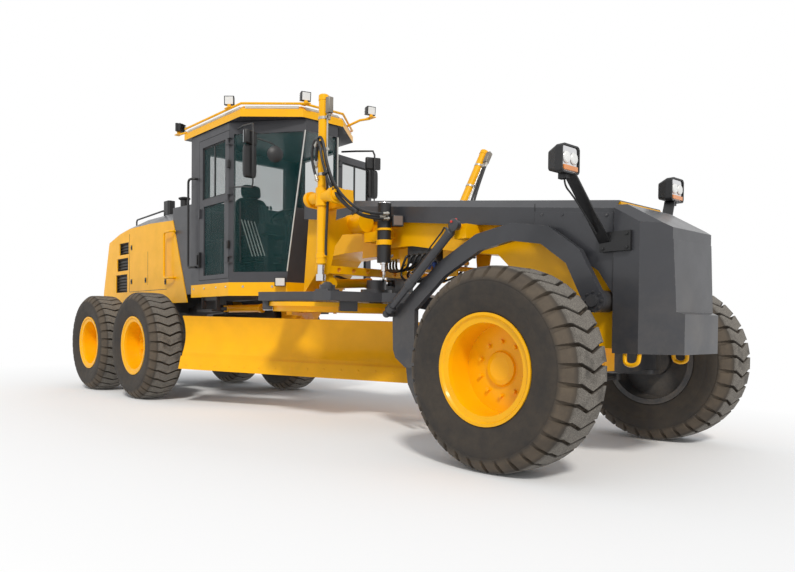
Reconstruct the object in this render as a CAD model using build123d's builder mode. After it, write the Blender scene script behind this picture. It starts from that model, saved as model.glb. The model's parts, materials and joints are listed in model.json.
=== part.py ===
"""Motor grader with a mid-mounted scarifier, parked with its left cab door open.

Machine axes, in millimetres: X forward from the pin bore of the rear tow hitch, Y to the left
from the centre plane. Heights are measured up from the ground while a piece is drawn, and the
finished pieces are lowered by HITCH_H, so that the frame's origin is the hitch bore.
"""
import os
from math import atan2, cos, degrees, hypot, pi, radians, sin, tan

from build123d import *

# ---------------------------------------------------------------- driving dimensions
HITCH_H = 650            # height of the tow hitch bore's middle above the ground
HITCH_R = 27             # hitch pin bore
HITCH_REACH = 110        # from the hitch pin to the front of the bumper plate
GAP = 5                  # clearance between pieces that move past each other
FIT = 0.05               # radial clearance of a pin or shaft that turns in its bore
SEAT = 0.3               # clearance between round pieces of one body that seat in each other

# wheels
TANDEM_X = 1930          # middle of the rear tandem
TANDEM_PITCH = 1538      # between the two axles of the tandem
WHEELBASE = 6219         # tandem middle to front axle
TRACK = 2155             # between wheel middle planes
TYRE_R = 660             # rolling radius, also the height of the hubs
TYRE_W = 445
RIM_R = 361              # rim flange
RIM_W = 386              # across the rim flanges
SEAT_R = 335             # bead seat of the tyre on the rim
DISC_IN = 15             # wheel disc, inboard of the wheel's middle plane
DISH_R = 290             # the dished outer face's wall
HUB_R = 120
BOLT_RING_R = 175
SPINDLE_R = 60
FRONT_X = TANDEM_X + WHEELBASE
KINGPIN_Y = 890          # kingpin axis from the centre plane
KINGPIN_R = 36

# frames
ARTIC_X = 4280           # articulation pin
ARTIC_R = 48
RAIL_Y = 340             # middle of each rear rail
RAIL_W = 90
NECK_W = 240             # width of the front frame's neck at the articulation
BEAM_W = 560             # width of the front frame's box beam
COVER_OUT = 70           # overhang of the cover beyond each side of the beam
COVER_W = BEAM_W + 2 * COVER_OUT
COVER_T = 8
BLOCK_AHEAD = 371        # push block: its rear face ahead of the front axle, and its length
BLOCK_L = 380
BLOCK_REAR = FRONT_X + BLOCK_AHEAD
BLOCK_FRONT = BLOCK_REAR + BLOCK_L
BLOCK_W = 740
BLOCK_BOTTOM = 760

# hood
HOOD_W = 1200
HOOD_T = 14
HOOD_LOW = 1208          # lower edge of its side panels
HOOD_CROWN = 2500        # top cover along the middle
STACKS = [(1240, -90), (1850, -150)]     # exhaust outlet and air precleaner

# cab
CAB_FLOOR = 1440
CAB_W = 1560
CAB_REAR = 3290
DOOR_REAR = 3490
DOOR_FRONT = 4180        # hinge edge of the doors, where the side kinks to the front
CAB_FRONT = 4700         # foot of the windscreen
SCREEN_W = 700           # width of the windscreen at its foot
SCREEN_LEAN = 5.3        # the windscreen leans forward
CAB_TOP = 3170
POST = 60                # cab wall and post section
DOOR_T = 40
DOOR_OPEN = 80           # the left door stands open by this angle
HINGE_OUT = 14           # door hinge axis, outside the cab's side
HINGE_PIN_R = 6
HINGE_ZS = (1650, 2340, 2960)
GLASS_T = 6
ROOF_Z = 3175
ROOF_T = 130

# blade and drawbar
BALL_X = FRONT_X - 319    # drawbar ball, under the front frame's nose
BALL_Z = 950
DRAWBAR_YAW = 7.6        # the drawbar is shifted to the right, seen from above
DRAWBAR_PITCH = 1.2      # and its rear stands higher than its ball's level plane
DRIVE_BACK = 1820        # circle drive behind the ball
CIRCLE_R = 700
CIRCLE_H = 90
BLADE_L = 4270
BLADE_H = 615
BLADE_ANGLE = 27         # blade line from the machine's X axis
BLADE_BEHIND = 300       # blade line behind the circle's middle
BLADE_SHIFT = 30         # sideshift along the blade towards its front end
SADDLE_X = BALL_X - 1800  # plane of the lift cylinders
SADDLE_BACK = 1816       # the same plane on the drawbar, behind its ball
TRUNNION_Y = 905
TRUNNION_Z = 2075

# scarifier
SCAR_X = FRONT_X + 281    # scarifier pivot
SCAR_Z = 1110
SCAR_TOP = (SCAR_X - 1150, 1730)      # its cylinder: the pin on the beam (x, z)
SCAR_FOOT = (SCAR_X - 1940, 1035)     # and on the right carrier
SCAR_CYL_Y = 535
SCAR_Y = 435             # middle plane of each scarifier arm
SCAR_T = 50

os.makedirs("parts", exist_ok=True)
PIECES = {}              # node name: finished piece


# ---------------------------------------------------------------- helpers
def box(x, y, z, mode=Mode.ADD):
    """A block between the low and high values given for each axis."""
    with Locations(((x[0] + x[1]) / 2, (y[0] + y[1]) / 2, (z[0] + z[1]) / 2)):
        Box(x[1] - x[0], y[1] - y[0], z[1] - z[0], mode=mode)


def outline(corners):
    """A closed face through the corners, added to the sketch being drawn."""
    with BuildLine() as edge:
        Polyline(*corners, close=True)
    make_face(edge.edges())


def side_plate(corners, y_low, y_high, mode=Mode.ADD):
    """A plate cut to an outline of (x, z) corners, between two values of y."""
    with BuildSketch(Plane.XZ.offset(-y_high)) as profile:
        outline(corners)
    extrude(profile.sketch, amount=y_high - y_low, mode=mode)


def flat_plate(corners, z_low, z_high, mode=Mode.ADD):
    """A plate cut to an outline of (x, y) corners, between two heights."""
    with BuildSketch(Plane.XY.offset(z_low)) as profile:
        outline(corners)
    extrude(profile.sketch, amount=z_high - z_low, mode=mode)


def cross_plate(corners, x_low, x_high, mode=Mode.ADD):
    """A plate cut to an outline of (y, z) corners, between two values of x."""
    with BuildSketch(Plane.YZ.offset(x_low)) as profile:
        outline(corners)
    extrude(profile.sketch, amount=x_high - x_low, mode=mode)


def bar(start, end, radius, mode=Mode.ADD):
    """A round bar, or a bore, from one point to another."""
    start, end = Vector(start), Vector(end)
    with BuildSketch(Plane(origin=start, z_dir=end - start)) as profile:
        Circle(radius)
    extrude(profile.sketch, amount=(end - start).length, mode=mode)


def tube_rail(points, radius, bend):
    """A bent tube through the points."""
    with BuildLine() as path:
        FilletPolyline(*points, radius=bend)
    with BuildSketch(Plane(origin=path.line @ 0, z_dir=path.line % 0)) as profile:
        Circle(radius)
    sweep(profile.sketch, path=path.line)


def along(start, end, distance):
    """The point at a distance from start on the way to end."""
    start, end = Vector(start), Vector(end)
    return start + (end - start).normalized() * distance


def chain(points, x_low, x_high, mode=Mode.ADD):
    """A plate across X made of rounded links: points are ((y, z), radius)."""
    for (start, start_r), (end, end_r) in zip(points, points[1:]):
        with BuildSketch(Plane.YZ.offset(x_low)) as link:
            with Locations(start):
                Circle(start_r)
            with Locations(end):
                Circle(end_r)
            make_hull()
        extrude(link.sketch, amount=x_high - x_low, mode=mode)


def mirrored(corners):
    """The corners and their mirror images across the first axis, as one outline."""
    return list(corners) + [(a, -b) for a, b in reversed(corners)]


def keep(name, part):
    """Label a finished piece and put it on the list of nodes."""
    part.label = name
    PIECES[name] = part


# ---------------------------------------------------------------- wheels
def tyre(x, y):
    """A tyre about the wheel axis at x, with its middle plane at y."""
    half, shoulder = TYRE_W / 2, TYRE_W / 2 - 60
    seat, bead = SEAT_R + SEAT, RIM_W / 2 - 14
    with BuildPart() as made:
        with BuildSketch(Plane(origin=(x, y, TYRE_R), x_dir=(0, 1, 0), z_dir=(1, 0, 0))):
            with BuildLine():
                Line((-bead, seat), (bead, seat))
                Line((bead, seat), (bead, RIM_R + 4))
                ThreePointArc((bead, RIM_R + 4), (half, (RIM_R + TYRE_R) / 2), (half - 22, TYRE_R - 45))
                Line((half - 22, TYRE_R - 45), (shoulder, TYRE_R))
                Line((shoulder, TYRE_R), (-shoulder, TYRE_R))
                Line((-shoulder, TYRE_R), (22 - half, TYRE_R - 45))
                ThreePointArc((22 - half, TYRE_R - 45), (-half, (RIM_R + TYRE_R) / 2), (-bead, RIM_R + 4))
                Line((-bead, RIM_R + 4), (-bead, seat))
            make_face()
        revolve(axis=Axis((x, y, TYRE_R), (0, 1, 0)))
    return made.part


def rim(x, y, side, hub_in):
    """A dished rim with its disc and hub. side is +1 on the left and -1 on the right."""
    edge, barrel = RIM_W / 2, SEAT_R - 16
    hub_end = -DISC_IN - hub_in
    with BuildPart() as made:
        with BuildSketch(Plane(origin=(x, y, TYRE_R), x_dir=(0, side, 0), z_dir=(side, 0, 0))):
            outline([
                (-edge, barrel), (-edge, RIM_R), (12 - edge, RIM_R), (12 - edge, SEAT_R),
                (edge - 12, SEAT_R), (edge - 12, RIM_R), (edge, RIM_R), (edge, RIM_R - 18),
                (edge - 14, RIM_R - 30), (edge - 20, DISH_R + 6), (edge - 50, DISH_R),
                (-DISC_IN, DISH_R - 6), (-DISC_IN, HUB_R), (5 - DISC_IN, HUB_R - 8),
                (22 - DISC_IN, HUB_R - 14), (30 - DISC_IN, HUB_R - 45), (30 - DISC_IN, 0),
                (hub_end, 0), (hub_end, HUB_R), (-DISC_IN - 18, HUB_R), (-DISC_IN - 18, barrel - 14),
            ])
        revolve(axis=Axis((x, y, TYRE_R), (0, 1, 0)))
        bar((x, y + side * hub_end, TYRE_R), (x, y - side * 20, TYRE_R), SPINDLE_R + FIT, mode=Mode.SUBTRACT)
        with Locations(Plane(origin=(x, y - side * DISC_IN, TYRE_R), z_dir=(0, side, 0))):
            with PolarLocations(BOLT_RING_R, 10):
                Cylinder(13, 24, align=(Align.CENTER, Align.CENTER, Align.MIN))
    return made.part


# name, x of the axle, side, depth of the hub inside its disc
WHEELS = [
    ("front_right", FRONT_X, -1, 69),
    ("front_left", FRONT_X, 1, 69),
    ("mid_right", TANDEM_X + TANDEM_PITCH / 2, -1, 95),
    ("mid_left", TANDEM_X + TANDEM_PITCH / 2, 1, 95),
    ("rear_right", TANDEM_X - TANDEM_PITCH / 2, -1, 95),
    ("rear_left", TANDEM_X - TANDEM_PITCH / 2, 1, 95),
]
for place, wheel_x, side, hub_in in WHEELS:
    keep(f"{place}_tyre", tyre(wheel_x, side * TRACK / 2))
    keep(f"{place}_rim", rim(wheel_x, side * TRACK / 2, side, hub_in))

# ---------------------------------------------------------------- tandem axle
SPINDLE_END = TRACK / 2 - 22          # spindle tip, short of the hub's blind bore
CASE_Y = (560, 790)                   # chain case, inner and outer face
with BuildPart() as tandem_axle:
    for side in (1, -1):
        y_low, y_high = sorted((side * CASE_Y[0], side * CASE_Y[1]))
        with BuildSketch(Plane.XZ.offset(-y_high)):
            with Locations((TANDEM_X, TYRE_R)):
                SlotCenterToCenter(TANDEM_PITCH, 360)
                Circle(235)
        extrude(amount=y_high - y_low)
        for axle_x in (TANDEM_X - TANDEM_PITCH / 2, TANDEM_X + TANDEM_PITCH / 2):
            bar((axle_x, side * CASE_Y[1], TYRE_R), (axle_x, side * SPINDLE_END, TYRE_R), SPINDLE_R)
            bar((axle_x, side * CASE_Y[1], TYRE_R), (axle_x, side * 900, TYRE_R), 150)
        bar((TANDEM_X, side * 200, TYRE_R), (TANDEM_X, side * CASE_Y[0], TYRE_R), 120)
    with Locations((TANDEM_X, 0, TYRE_R)):
        Sphere(225)
    box((TANDEM_X - 130, TANDEM_X + 130), (-RAIL_Y - 60, RAIL_Y + 60), (TYRE_R + 90, 820))
keep("tandem_axle", tandem_axle.part)

# ---------------------------------------------------------------- rear frame
ARTIC_REAR = (3560, 440, 1120)        # articulation cylinder: its pin on the rear frame (x, |y|, z)
ARTIC_FRONT = (4700, 330, 1120)       # and on the front frame
LUG_T = 36
EYE_PIN_R = 20
RAIL_TOP, RAIL_LOW = 1130, 820        # rails over the tandem axle
SWEEP_LOW = 1060                      # underside of the rails where they rise below the cab
DECK_TOP = CAB_FLOOR - 20
FORK_TOP, FORK_LOW = 1250, 840        # the two articulation plates, middle heights
FORK_T = 60
with BuildPart() as rear_frame:
    for side in (1, -1):
        y_low, y_high = sorted((side * (RAIL_Y - RAIL_W / 2), side * (RAIL_Y + RAIL_W / 2)))
        side_plate([
            (HITCH_REACH, RAIL_LOW), (2620, RAIL_LOW), (2980, SWEEP_LOW), (3450, SWEEP_LOW + 20),
            (3450, FORK_TOP), (2900, FORK_TOP), (2500, RAIL_TOP), (HITCH_REACH, RAIL_TOP),
        ], y_low, y_high)
        # outriggers under the hood's sides, rubber mounts under the cab, articulation cylinder lug
        y_low, y_high = sorted((side * RAIL_Y, side * (HOOD_W / 2 - 2)))
        for cross_x in (420, 1400, 2380):
            box((cross_x, cross_x + 70), (y_low, y_high), (RAIL_TOP - 50, HOOD_LOW - SEAT))
        for mount_x in (3420, 4020):
            bar((mount_x, side * 250, FORK_TOP), (mount_x, side * 250, CAB_FLOOR - 60 - SEAT), 55)
        y_low, y_high = sorted((side * RAIL_Y, side * (ARTIC_REAR[1] + 45)))
        box((3400, 3480), (y_low, y_high), (SWEEP_LOW + 20, ARTIC_REAR[2] + 50))
        box((3480, ARTIC_REAR[0]), (sorted((side * (ARTIC_REAR[1] - 38), side * (ARTIC_REAR[1] + 38)))),
            (ARTIC_REAR[2] - LUG_T / 2, ARTIC_REAR[2] + LUG_T / 2))
        bar((ARTIC_REAR[0], side * ARTIC_REAR[1], ARTIC_REAR[2] - LUG_T / 2),
            (ARTIC_REAR[0], side * ARTIC_REAR[1], ARTIC_REAR[2] + LUG_T / 2), 38)
        bar((ARTIC_REAR[0], side * ARTIC_REAR[1], ARTIC_REAR[2] - 55),
            (ARTIC_REAR[0], side * ARTIC_REAR[1], ARTIC_REAR[2] + 55), EYE_PIN_R)
    for cross_x in (HITCH_REACH, 1000, 2440, 3300):
        box((cross_x, cross_x + 60), (-RAIL_Y, RAIL_Y), (1060, 1125))
    # rear bumper plate, and the hitch clevis on it: two ears with the pin bore
    box((HITCH_REACH - 40, HITCH_REACH), (-560, 560), (560, HOOD_LOW - 10))
    box((HITCH_REACH - 60, HITCH_REACH), (-200, 200), (560, 740))
    for ear_z in (HITCH_H + 45, HITCH_H - 75):
        flat_plate([(HITCH_REACH - 40, -130), (HITCH_REACH - 40, 130), (0, 55), (-45, 30), (-45, -30),
                    (0, -55)], ear_z, ear_z + 30)
    bar((0, 0, HITCH_H - 100), (0, 0, HITCH_H + 100), HITCH_R, mode=Mode.SUBTRACT)
    # articulation fork: upper and lower plate, tied by two sloping webs
    flat_plate([(3300, -385), (3300, 385), (ARTIC_X - 120, 385), (ARTIC_X + 90, 120),
                (ARTIC_X + 90, -120), (ARTIC_X - 120, -385)], FORK_TOP - FORK_T / 2, FORK_TOP + FORK_T / 2)
    flat_plate([(3700, -140), (3700, 140), (ARTIC_X, 140), (ARTIC_X + 90, 60),
                (ARTIC_X + 90, -60), (ARTIC_X, -140)], FORK_LOW - FORK_T / 2, FORK_LOW + FORK_T / 2)
    for web_y in (-130, 100):
        side_plate([(3350, FORK_TOP), (3700, FORK_LOW), (ARTIC_X - 150, FORK_LOW),
                    (ARTIC_X - 150, FORK_TOP)], web_y, web_y + 30)
    bar((ARTIC_X, 0, FORK_LOW - 60), (ARTIC_X, 0, FORK_TOP + 60), ARTIC_R)
keep("rear_frame", rear_frame.part)

# ---------------------------------------------------------------- hood
# side view of the yellow panels, (x, z): up the rear, along the top edge, down the sloping front
HOOD_SIDE = [(-40, HOOD_LOW), (-45, 1400), (190, 2190), (617, 2290), (975, 2335), (1700, 2335),
             (2410, 2303), (2830, HOOD_LOW)]
HOOD_TOP_EDGE = HOOD_SIDE[2:7]
HOOD_RISE, HOOD_FLAT = 165, 300       # the top cover's crown above that edge, and half its flat middle
# low and high corners of the three louvred openings of each side, (x, z)
GRILLES = [((600, 1968), (950, 2145)), ((510, 1726), (930, 1915)), ((465, 1400), (897, 1671))]
with BuildPart() as hood_sides:
    side_plate(HOOD_SIDE, -HOOD_W / 2, HOOD_W / 2)
    side_plate([(-45 + HOOD_T, HOOD_LOW - 10), (-45 + HOOD_T, 1398), (190 + HOOD_T, 2190), (190, 2600),
                (2900, 2600), (2900, HOOD_LOW - 10)], HOOD_T - HOOD_W / 2, HOOD_W / 2 - HOOD_T,
               mode=Mode.SUBTRACT)
    for low, high in GRILLES:
        box((low[0], high[0]), (-HOOD_W, HOOD_W), (low[1], high[1]), mode=Mode.SUBTRACT)
    box((-200, 400), (-400, 400), (1420, 1980), mode=Mode.SUBTRACT)
keep("hood_sides", hood_sides.part)

with BuildPart() as hood_grilles:
    for low, high in GRILLES:
        count = round((high[1] - low[1]) / 45)
        pitch = (high[1] - low[1]) / count
        for side in (1, -1):
            y_mid = side * (HOOD_W / 2 - HOOD_T - 12 - SEAT)
            with Locations(((low[0] + high[0]) / 2, y_mid, (low[1] + high[1]) / 2)):
                Box(high[0] - low[0] + 40, 24, high[1] - low[1] + 40)
                Box(high[0] - low[0] - 16, 24, high[1] - low[1] - 16, mode=Mode.SUBTRACT)
            for row in range(count):
                with Locations(Location(((low[0] + high[0]) / 2, y_mid, low[1] + (row + 0.5) * pitch),
                                        (side * 35, 0, 0))):
                    Box(high[0] - low[0] - 10, 26, 6)
keep("hood_grilles", hood_grilles.part)


def hood_z(x, y):
    """Height of the top cover's side slope."""
    for (x_low, z_low), (x_high, z_high) in zip(HOOD_TOP_EDGE, HOOD_TOP_EDGE[1:]):
        if x_low <= x <= x_high:
            edge = z_low + (z_high - z_low) * (x - x_low) / (x_high - x_low)
    return edge + HOOD_RISE * (HOOD_W / 2 - abs(y)) / (HOOD_W / 2 - HOOD_FLAT)


with BuildPart() as hood_top:
    # crowned cover: a flat middle 600 wide, falling to the top edges of the side panels
    crown = [(x, z + HOOD_RISE if x > 300 else z + 110) for x, z in HOOD_TOP_EDGE]
    for (x_low, z_low), (x_high, z_high), (_, c_low), (_, c_high) in zip(
            HOOD_TOP_EDGE, HOOD_TOP_EDGE[1:], crown, crown[1:]):
        with BuildSketch(Plane.YZ.offset(x_low)):
            outline([(-HOOD_W / 2, z_low + SEAT), (HOOD_W / 2, z_low + SEAT), (HOOD_FLAT, c_low),
                     (-HOOD_FLAT, c_low)])
        with BuildSketch(Plane.YZ.offset(x_high)):
            outline([(-HOOD_W / 2, z_high + SEAT), (HOOD_W / 2, z_high + SEAT), (HOOD_FLAT, c_high),
                     (-HOOD_FLAT, c_high)])
        loft()
    # tank cover between the hood and the cab
    side_plate([(2400, 2340), (2411, 2305), (2793, FORK_TOP + 60), (CAB_REAR - GAP, FORK_TOP + 60),
                (CAB_REAR - GAP, 2440), (2400, 2468)], 10 - HOOD_W / 2, HOOD_W / 2 - 10)
    # seat of the air precleaner
    bar((STACKS[1][0], STACKS[1][1], 2400), (STACKS[1][0], STACKS[1][1], HOOD_CROWN + 8), 90)
keep("hood_top", hood_top.part)

with BuildPart() as exhaust_stacks:
    # exhaust outlet and air precleaner on the hood's top
    with BuildSketch(Plane.XY.offset(HOOD_CROWN + SEAT)):
        with Locations(STACKS[0]):
            RectangleRounded(190, 120, 40)
    extrude(amount=270)
    with BuildSketch(Plane.XY.offset(HOOD_CROWN + 180)):
        with Locations(STACKS[0]):
            RectangleRounded(178, 108, 34)
    extrude(amount=100, mode=Mode.SUBTRACT)
    # foot, neck, bowl and rain cap of the precleaner, (radius, z above its seat)
    with BuildSketch(Plane(origin=(STACKS[1][0], STACKS[1][1], HOOD_CROWN + 8 + SEAT), x_dir=(1, 0, 0),
                           z_dir=(0, -1, 0))):
        outline([(0, 0), (72, 0), (72, 24), (56, 40), (56, 190), (84, 205), (84, 222), (40, 236), (0, 236)])
    revolve(axis=Axis((STACKS[1][0], STACKS[1][1], HOOD_CROWN), (0, 0, 1)))
keep("exhaust_stacks", exhaust_stacks.part)

with BuildPart() as engine_block:
    box((520, 1720), (-330, 330), (RAIL_TOP + SEAT, 1950))
keep("engine_block", engine_block.part)

# ---------------------------------------------------------------- cab
FACET = Vector(CAB_FRONT - DOOR_FRONT, (CAB_W - SCREEN_W) / 2)      # plan run of a front facet
FACET_L = FACET.length
NOSE_X = CAB_FRONT + SCREEN_W / 2 * FACET.X / FACET.Y               # where the facets would meet
LEAN = radians(SCREEN_LEAN)
SCREEN = Plane(origin=(CAB_FRONT, 0, CAB_FLOOR), x_dir=(0, 1, 0), z_dir=(cos(LEAN), 0, -sin(LEAN)))
SCREEN_H = (CAB_TOP - CAB_FLOOR) / cos(LEAN)


def screen_half(height):
    """Half width of the windscreen's plane at a distance up its slope."""
    return SCREEN_W / 2 - height * sin(LEAN) * FACET.Y / FACET.X


def facet_plane(depth=0):
    """The plane of the right front facet: x along it to the front, y up, z outward."""
    run = FACET.normalized()
    return Plane(origin=(DOOR_FRONT, -CAB_W / 2, CAB_FLOOR), x_dir=(run.X, run.Y, 0),
                 z_dir=(run.Y, -run.X, 0)).offset(-depth)


def both_sides(piece, mode=Mode.ADD):
    """Put in a piece made for the right side, and its mirror image on the left."""
    add(piece, mode=mode)
    add(piece.mirror(Plane.XZ), mode=mode)


def cab_body(inset, z_low, z_high, mode=Mode.ADD):
    """The cab's outer form, or the room inside its walls."""
    half = CAB_W / 2 - inset
    rear = CAB_REAR + inset
    kink = DOOR_FRONT - inset * tan(atan2(FACET.Y, FACET.X) / 2)
    nose = kink + half * FACET.X / FACET.Y
    with BuildSketch(Plane.XY.offset(z_low)) as plan:
        outline([(rear, half), (kink, half), (nose, 0), (kink, -half), (rear, -half)])
    screen_foot = CAB_FRONT - inset / cos(LEAN)
    with BuildPart(mode=Mode.PRIVATE) as room:
        extrude(plan.sketch, amount=z_high - z_low)
        side_plate([(screen_foot + (z - CAB_FLOOR) * tan(LEAN), z) for z in (z_low, z_high)]
                   + [(nose + 10, z_high), (nose + 10, z_low)], -half, half, mode=Mode.SUBTRACT)
    add(room.part, mode=mode)


# openings of one front facet and of the doors: low and high corners on their planes
CORNER = 15              # the glass ends this far from the corner between facet and windscreen
FACET_POST, FACET_LOW, FACET_TOP = 55, 75, 1600
FACET_GROWTH = tan(LEAN) * FACET_L / FACET.X             # the facet widens with height
DOOR_LOW, DOOR_HIGH = CAB_FLOOR + 10, 3085
DOOR_WINDOWS = [((3571, 2390), (4095, 3000)), ((3600, 1500), (4080, 2310))]
SCREEN_LOW, SCREEN_TOP = 780, SCREEN_H - 120
REAR_WINDOW = ((-560, 2330), (560, 3000))


def screen_outline(margin):
    """The windscreen opening, drawn in by a margin."""
    low, top = SCREEN_LOW + margin, SCREEN_TOP - margin
    margin += CORNER
    return [(-screen_half(low) + margin, low), (screen_half(low) - margin, low),
            (screen_half(top) - margin, top), (-screen_half(top) + margin, top)]


def facet_outline(margin):
    """The opening of the right front facet, drawn in by a margin."""
    low, top = FACET_LOW + margin, FACET_TOP - margin
    rear, front = FACET_POST + margin, FACET_L - CORNER - margin
    return [(rear, low), (front + low * FACET_GROWTH, low),
            (front + top * FACET_GROWTH, top), (rear, top)]


def pane(plane, corners, depth, mode=Mode.ADD):
    """A pane, or its opening, from its outline on a plane."""
    with BuildSketch(plane) as profile:
        outline(corners)
    extrude(profile.sketch, amount=depth, mode=mode)


with BuildPart() as cab_frame:
    cab_body(0, CAB_FLOOR - 40, CAB_TOP)
    cab_body(POST, CAB_FLOOR, CAB_TOP - 60, mode=Mode.SUBTRACT)
    for side in (1, -1):
        y_low, y_high = sorted((side * (CAB_W / 2 + 1), side * (CAB_W / 2 - POST - 1)))
        box((DOOR_REAR, DOOR_FRONT), (y_low, y_high), (DOOR_LOW - GAP, DOOR_HIGH + GAP), mode=Mode.SUBTRACT)
        # hinge lugs and pins on the post in front of each door
        for hinge_z in HINGE_ZS:
            for lug_z in (hinge_z - 39, hinge_z + 31):
                box((DOOR_FRONT - 10, DOOR_FRONT + 40),
                    sorted((side * (CAB_W / 2 + 5), side * (CAB_W / 2 + HINGE_OUT + 10))), (lug_z, lug_z + 8))
                box((DOOR_FRONT + 8, DOOR_FRONT + 40),
                    sorted((side * (CAB_W / 2 - 40), side * (CAB_W / 2 + 8))), (lug_z, lug_z + 8))
            bar((DOOR_FRONT, side * (CAB_W / 2 + HINGE_OUT), hinge_z - 39),
                (DOOR_FRONT, side * (CAB_W / 2 + HINGE_OUT), hinge_z + 39), HINGE_PIN_R)
    with BuildPart(mode=Mode.PRIVATE) as facet_opening:
        pane(facet_plane(POST + 5), facet_outline(0), POST + 10)
    both_sides(facet_opening.part, mode=Mode.SUBTRACT)
    pane(SCREEN.offset(-POST - 5), screen_outline(0), POST + 10, mode=Mode.SUBTRACT)
    box((CAB_REAR - 5, CAB_REAR + POST + 5), (REAR_WINDOW[0][0], REAR_WINDOW[1][0]),
        (REAR_WINDOW[0][1], REAR_WINDOW[1][1]), mode=Mode.SUBTRACT)
keep("cab_frame", cab_frame.part)

with BuildPart() as cab_glass:
    with BuildPart(mode=Mode.PRIVATE) as facet_pane:
        pane(facet_plane(20), facet_outline(SEAT), GLASS_T)
    both_sides(facet_pane.part)
    pane(SCREEN.offset(-20), screen_outline(SEAT), GLASS_T)
    box((CAB_REAR + 20, CAB_REAR + 20 + GLASS_T), (REAR_WINDOW[0][0] + SEAT, REAR_WINDOW[1][0] - SEAT),
        (REAR_WINDOW[0][1] + SEAT, REAR_WINDOW[1][1] - SEAT))
keep("cab_glass", cab_glass.part)

APRON_LOW = 1250
with BuildPart() as cab_platform:
    # the yellow apron hangs round the cab floor's edge, over a cross member on the rails
    apron = [(CAB_REAR, CAB_W / 2), (DOOR_FRONT, CAB_W / 2), (CAB_FRONT, SCREEN_W / 2)]
    skirt = [(CAB_REAR - 20, CAB_W / 2 - 10), (DOOR_FRONT - 5, CAB_W / 2 - 10),
             (CAB_FRONT - 12, SCREEN_W / 2 - 4)]
    flat_plate(mirrored(apron), APRON_LOW, CAB_FLOOR - 40 - SEAT)
    flat_plate(mirrored(skirt), APRON_LOW - 10, CAB_FLOOR - 60, mode=Mode.SUBTRACT)
keep("cab_platform", cab_platform.part)

# ---------------------------------------------------------------- doors, roof and cab interior
with BuildPart() as door_frame:
    # the right door, closed, with its hinge eyes on the front edge
    skin = -CAB_W / 2
    box((DOOR_REAR + GAP, DOOR_FRONT - GAP), (skin, skin + DOOR_T), (DOOR_LOW, DOOR_HIGH))
    for low, high in DOOR_WINDOWS:
        box((low[0], high[0]), (skin - 5, skin + DOOR_T + 5), (low[1], high[1]), mode=Mode.SUBTRACT)
    for hinge_z in HINGE_ZS:
        box((DOOR_FRONT - 60, DOOR_FRONT - 6), (skin - 14, skin + 4), (hinge_z - 26, hinge_z + 26))
        bar((DOOR_FRONT, skin - HINGE_OUT, hinge_z - 26), (DOOR_FRONT, skin - HINGE_OUT, hinge_z + 26), 11)
        bar((DOOR_FRONT, skin - HINGE_OUT, hinge_z - 30), (DOOR_FRONT, skin - HINGE_OUT, hinge_z + 30),
            HINGE_PIN_R + 0.5, mode=Mode.SUBTRACT)
    box((DOOR_REAR + 20, DOOR_REAR + 50), (skin - 26, skin), (2180, 2290))        # handle
with BuildPart() as door_pane:
    for low, high in DOOR_WINDOWS:
        box((low[0] + SEAT, high[0] - SEAT), (skin + 17, skin + 17 + GLASS_T), (low[1] + SEAT, high[1] - SEAT))
door_hinge = Axis((DOOR_FRONT, CAB_W / 2 + HINGE_OUT, 0), (0, 0, -1))
keep("right_door", door_frame.part)
keep("right_door_glass", door_pane.part)
keep("left_door", door_frame.part.mirror(Plane.XZ).rotate(door_hinge, DOOR_OPEN))
keep("left_door_glass", door_pane.part.mirror(Plane.XZ).rotate(door_hinge, DOOR_OPEN))

with BuildPart() as cab_roof:
    roof = [(CAB_REAR - 150, CAB_W / 2 + 20), (DOOR_FRONT + 260, CAB_W / 2 + 20), (4880, 280)]
    with BuildSketch(Plane.XY.offset(ROOF_Z)):
        outline(mirrored(roof))
    extrude(amount=ROOF_T)
    chamfer(cab_roof.edges().group_by(Axis.Z)[-1], 60)
    box((CAB_REAR + 20, DOOR_FRONT), (-600, 600), (CAB_TOP + SEAT, ROOF_Z))
    box((3750, 4250), (-330, 330), (ROOF_Z + ROOF_T - 5, ROOF_Z + ROOF_T + 90))   # air conditioner
keep("cab_roof", cab_roof.part)

with BuildPart() as seat:
    box((3480, 3720), (-180, 180), (CAB_FLOOR + SEAT, CAB_FLOOR + 330))
    box((3430, 3900), (-250, 250), (CAB_FLOOR + 330, CAB_FLOOR + 450))
    with BuildPart(mode=Mode.PRIVATE) as back:
        Box(110, 480, 700)
    add(back.part.rotate(Axis.Y, -10).moved(Location((3440, 0, CAB_FLOOR + 770))))
keep("seat", seat.part)

with BuildPart() as console:
    # steering pedestal between the levers
    box((4250, 4420), (-110, 110), (CAB_FLOOR + SEAT, CAB_FLOOR + 480))
    bar((4340, 0, CAB_FLOOR + 440), (4190, 0, CAB_FLOOR + 760), 60)
    bar((4196, 0, CAB_FLOOR + 747), (4180, 0, CAB_FLOOR + 780), 190)
keep("console", console.part)

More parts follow.
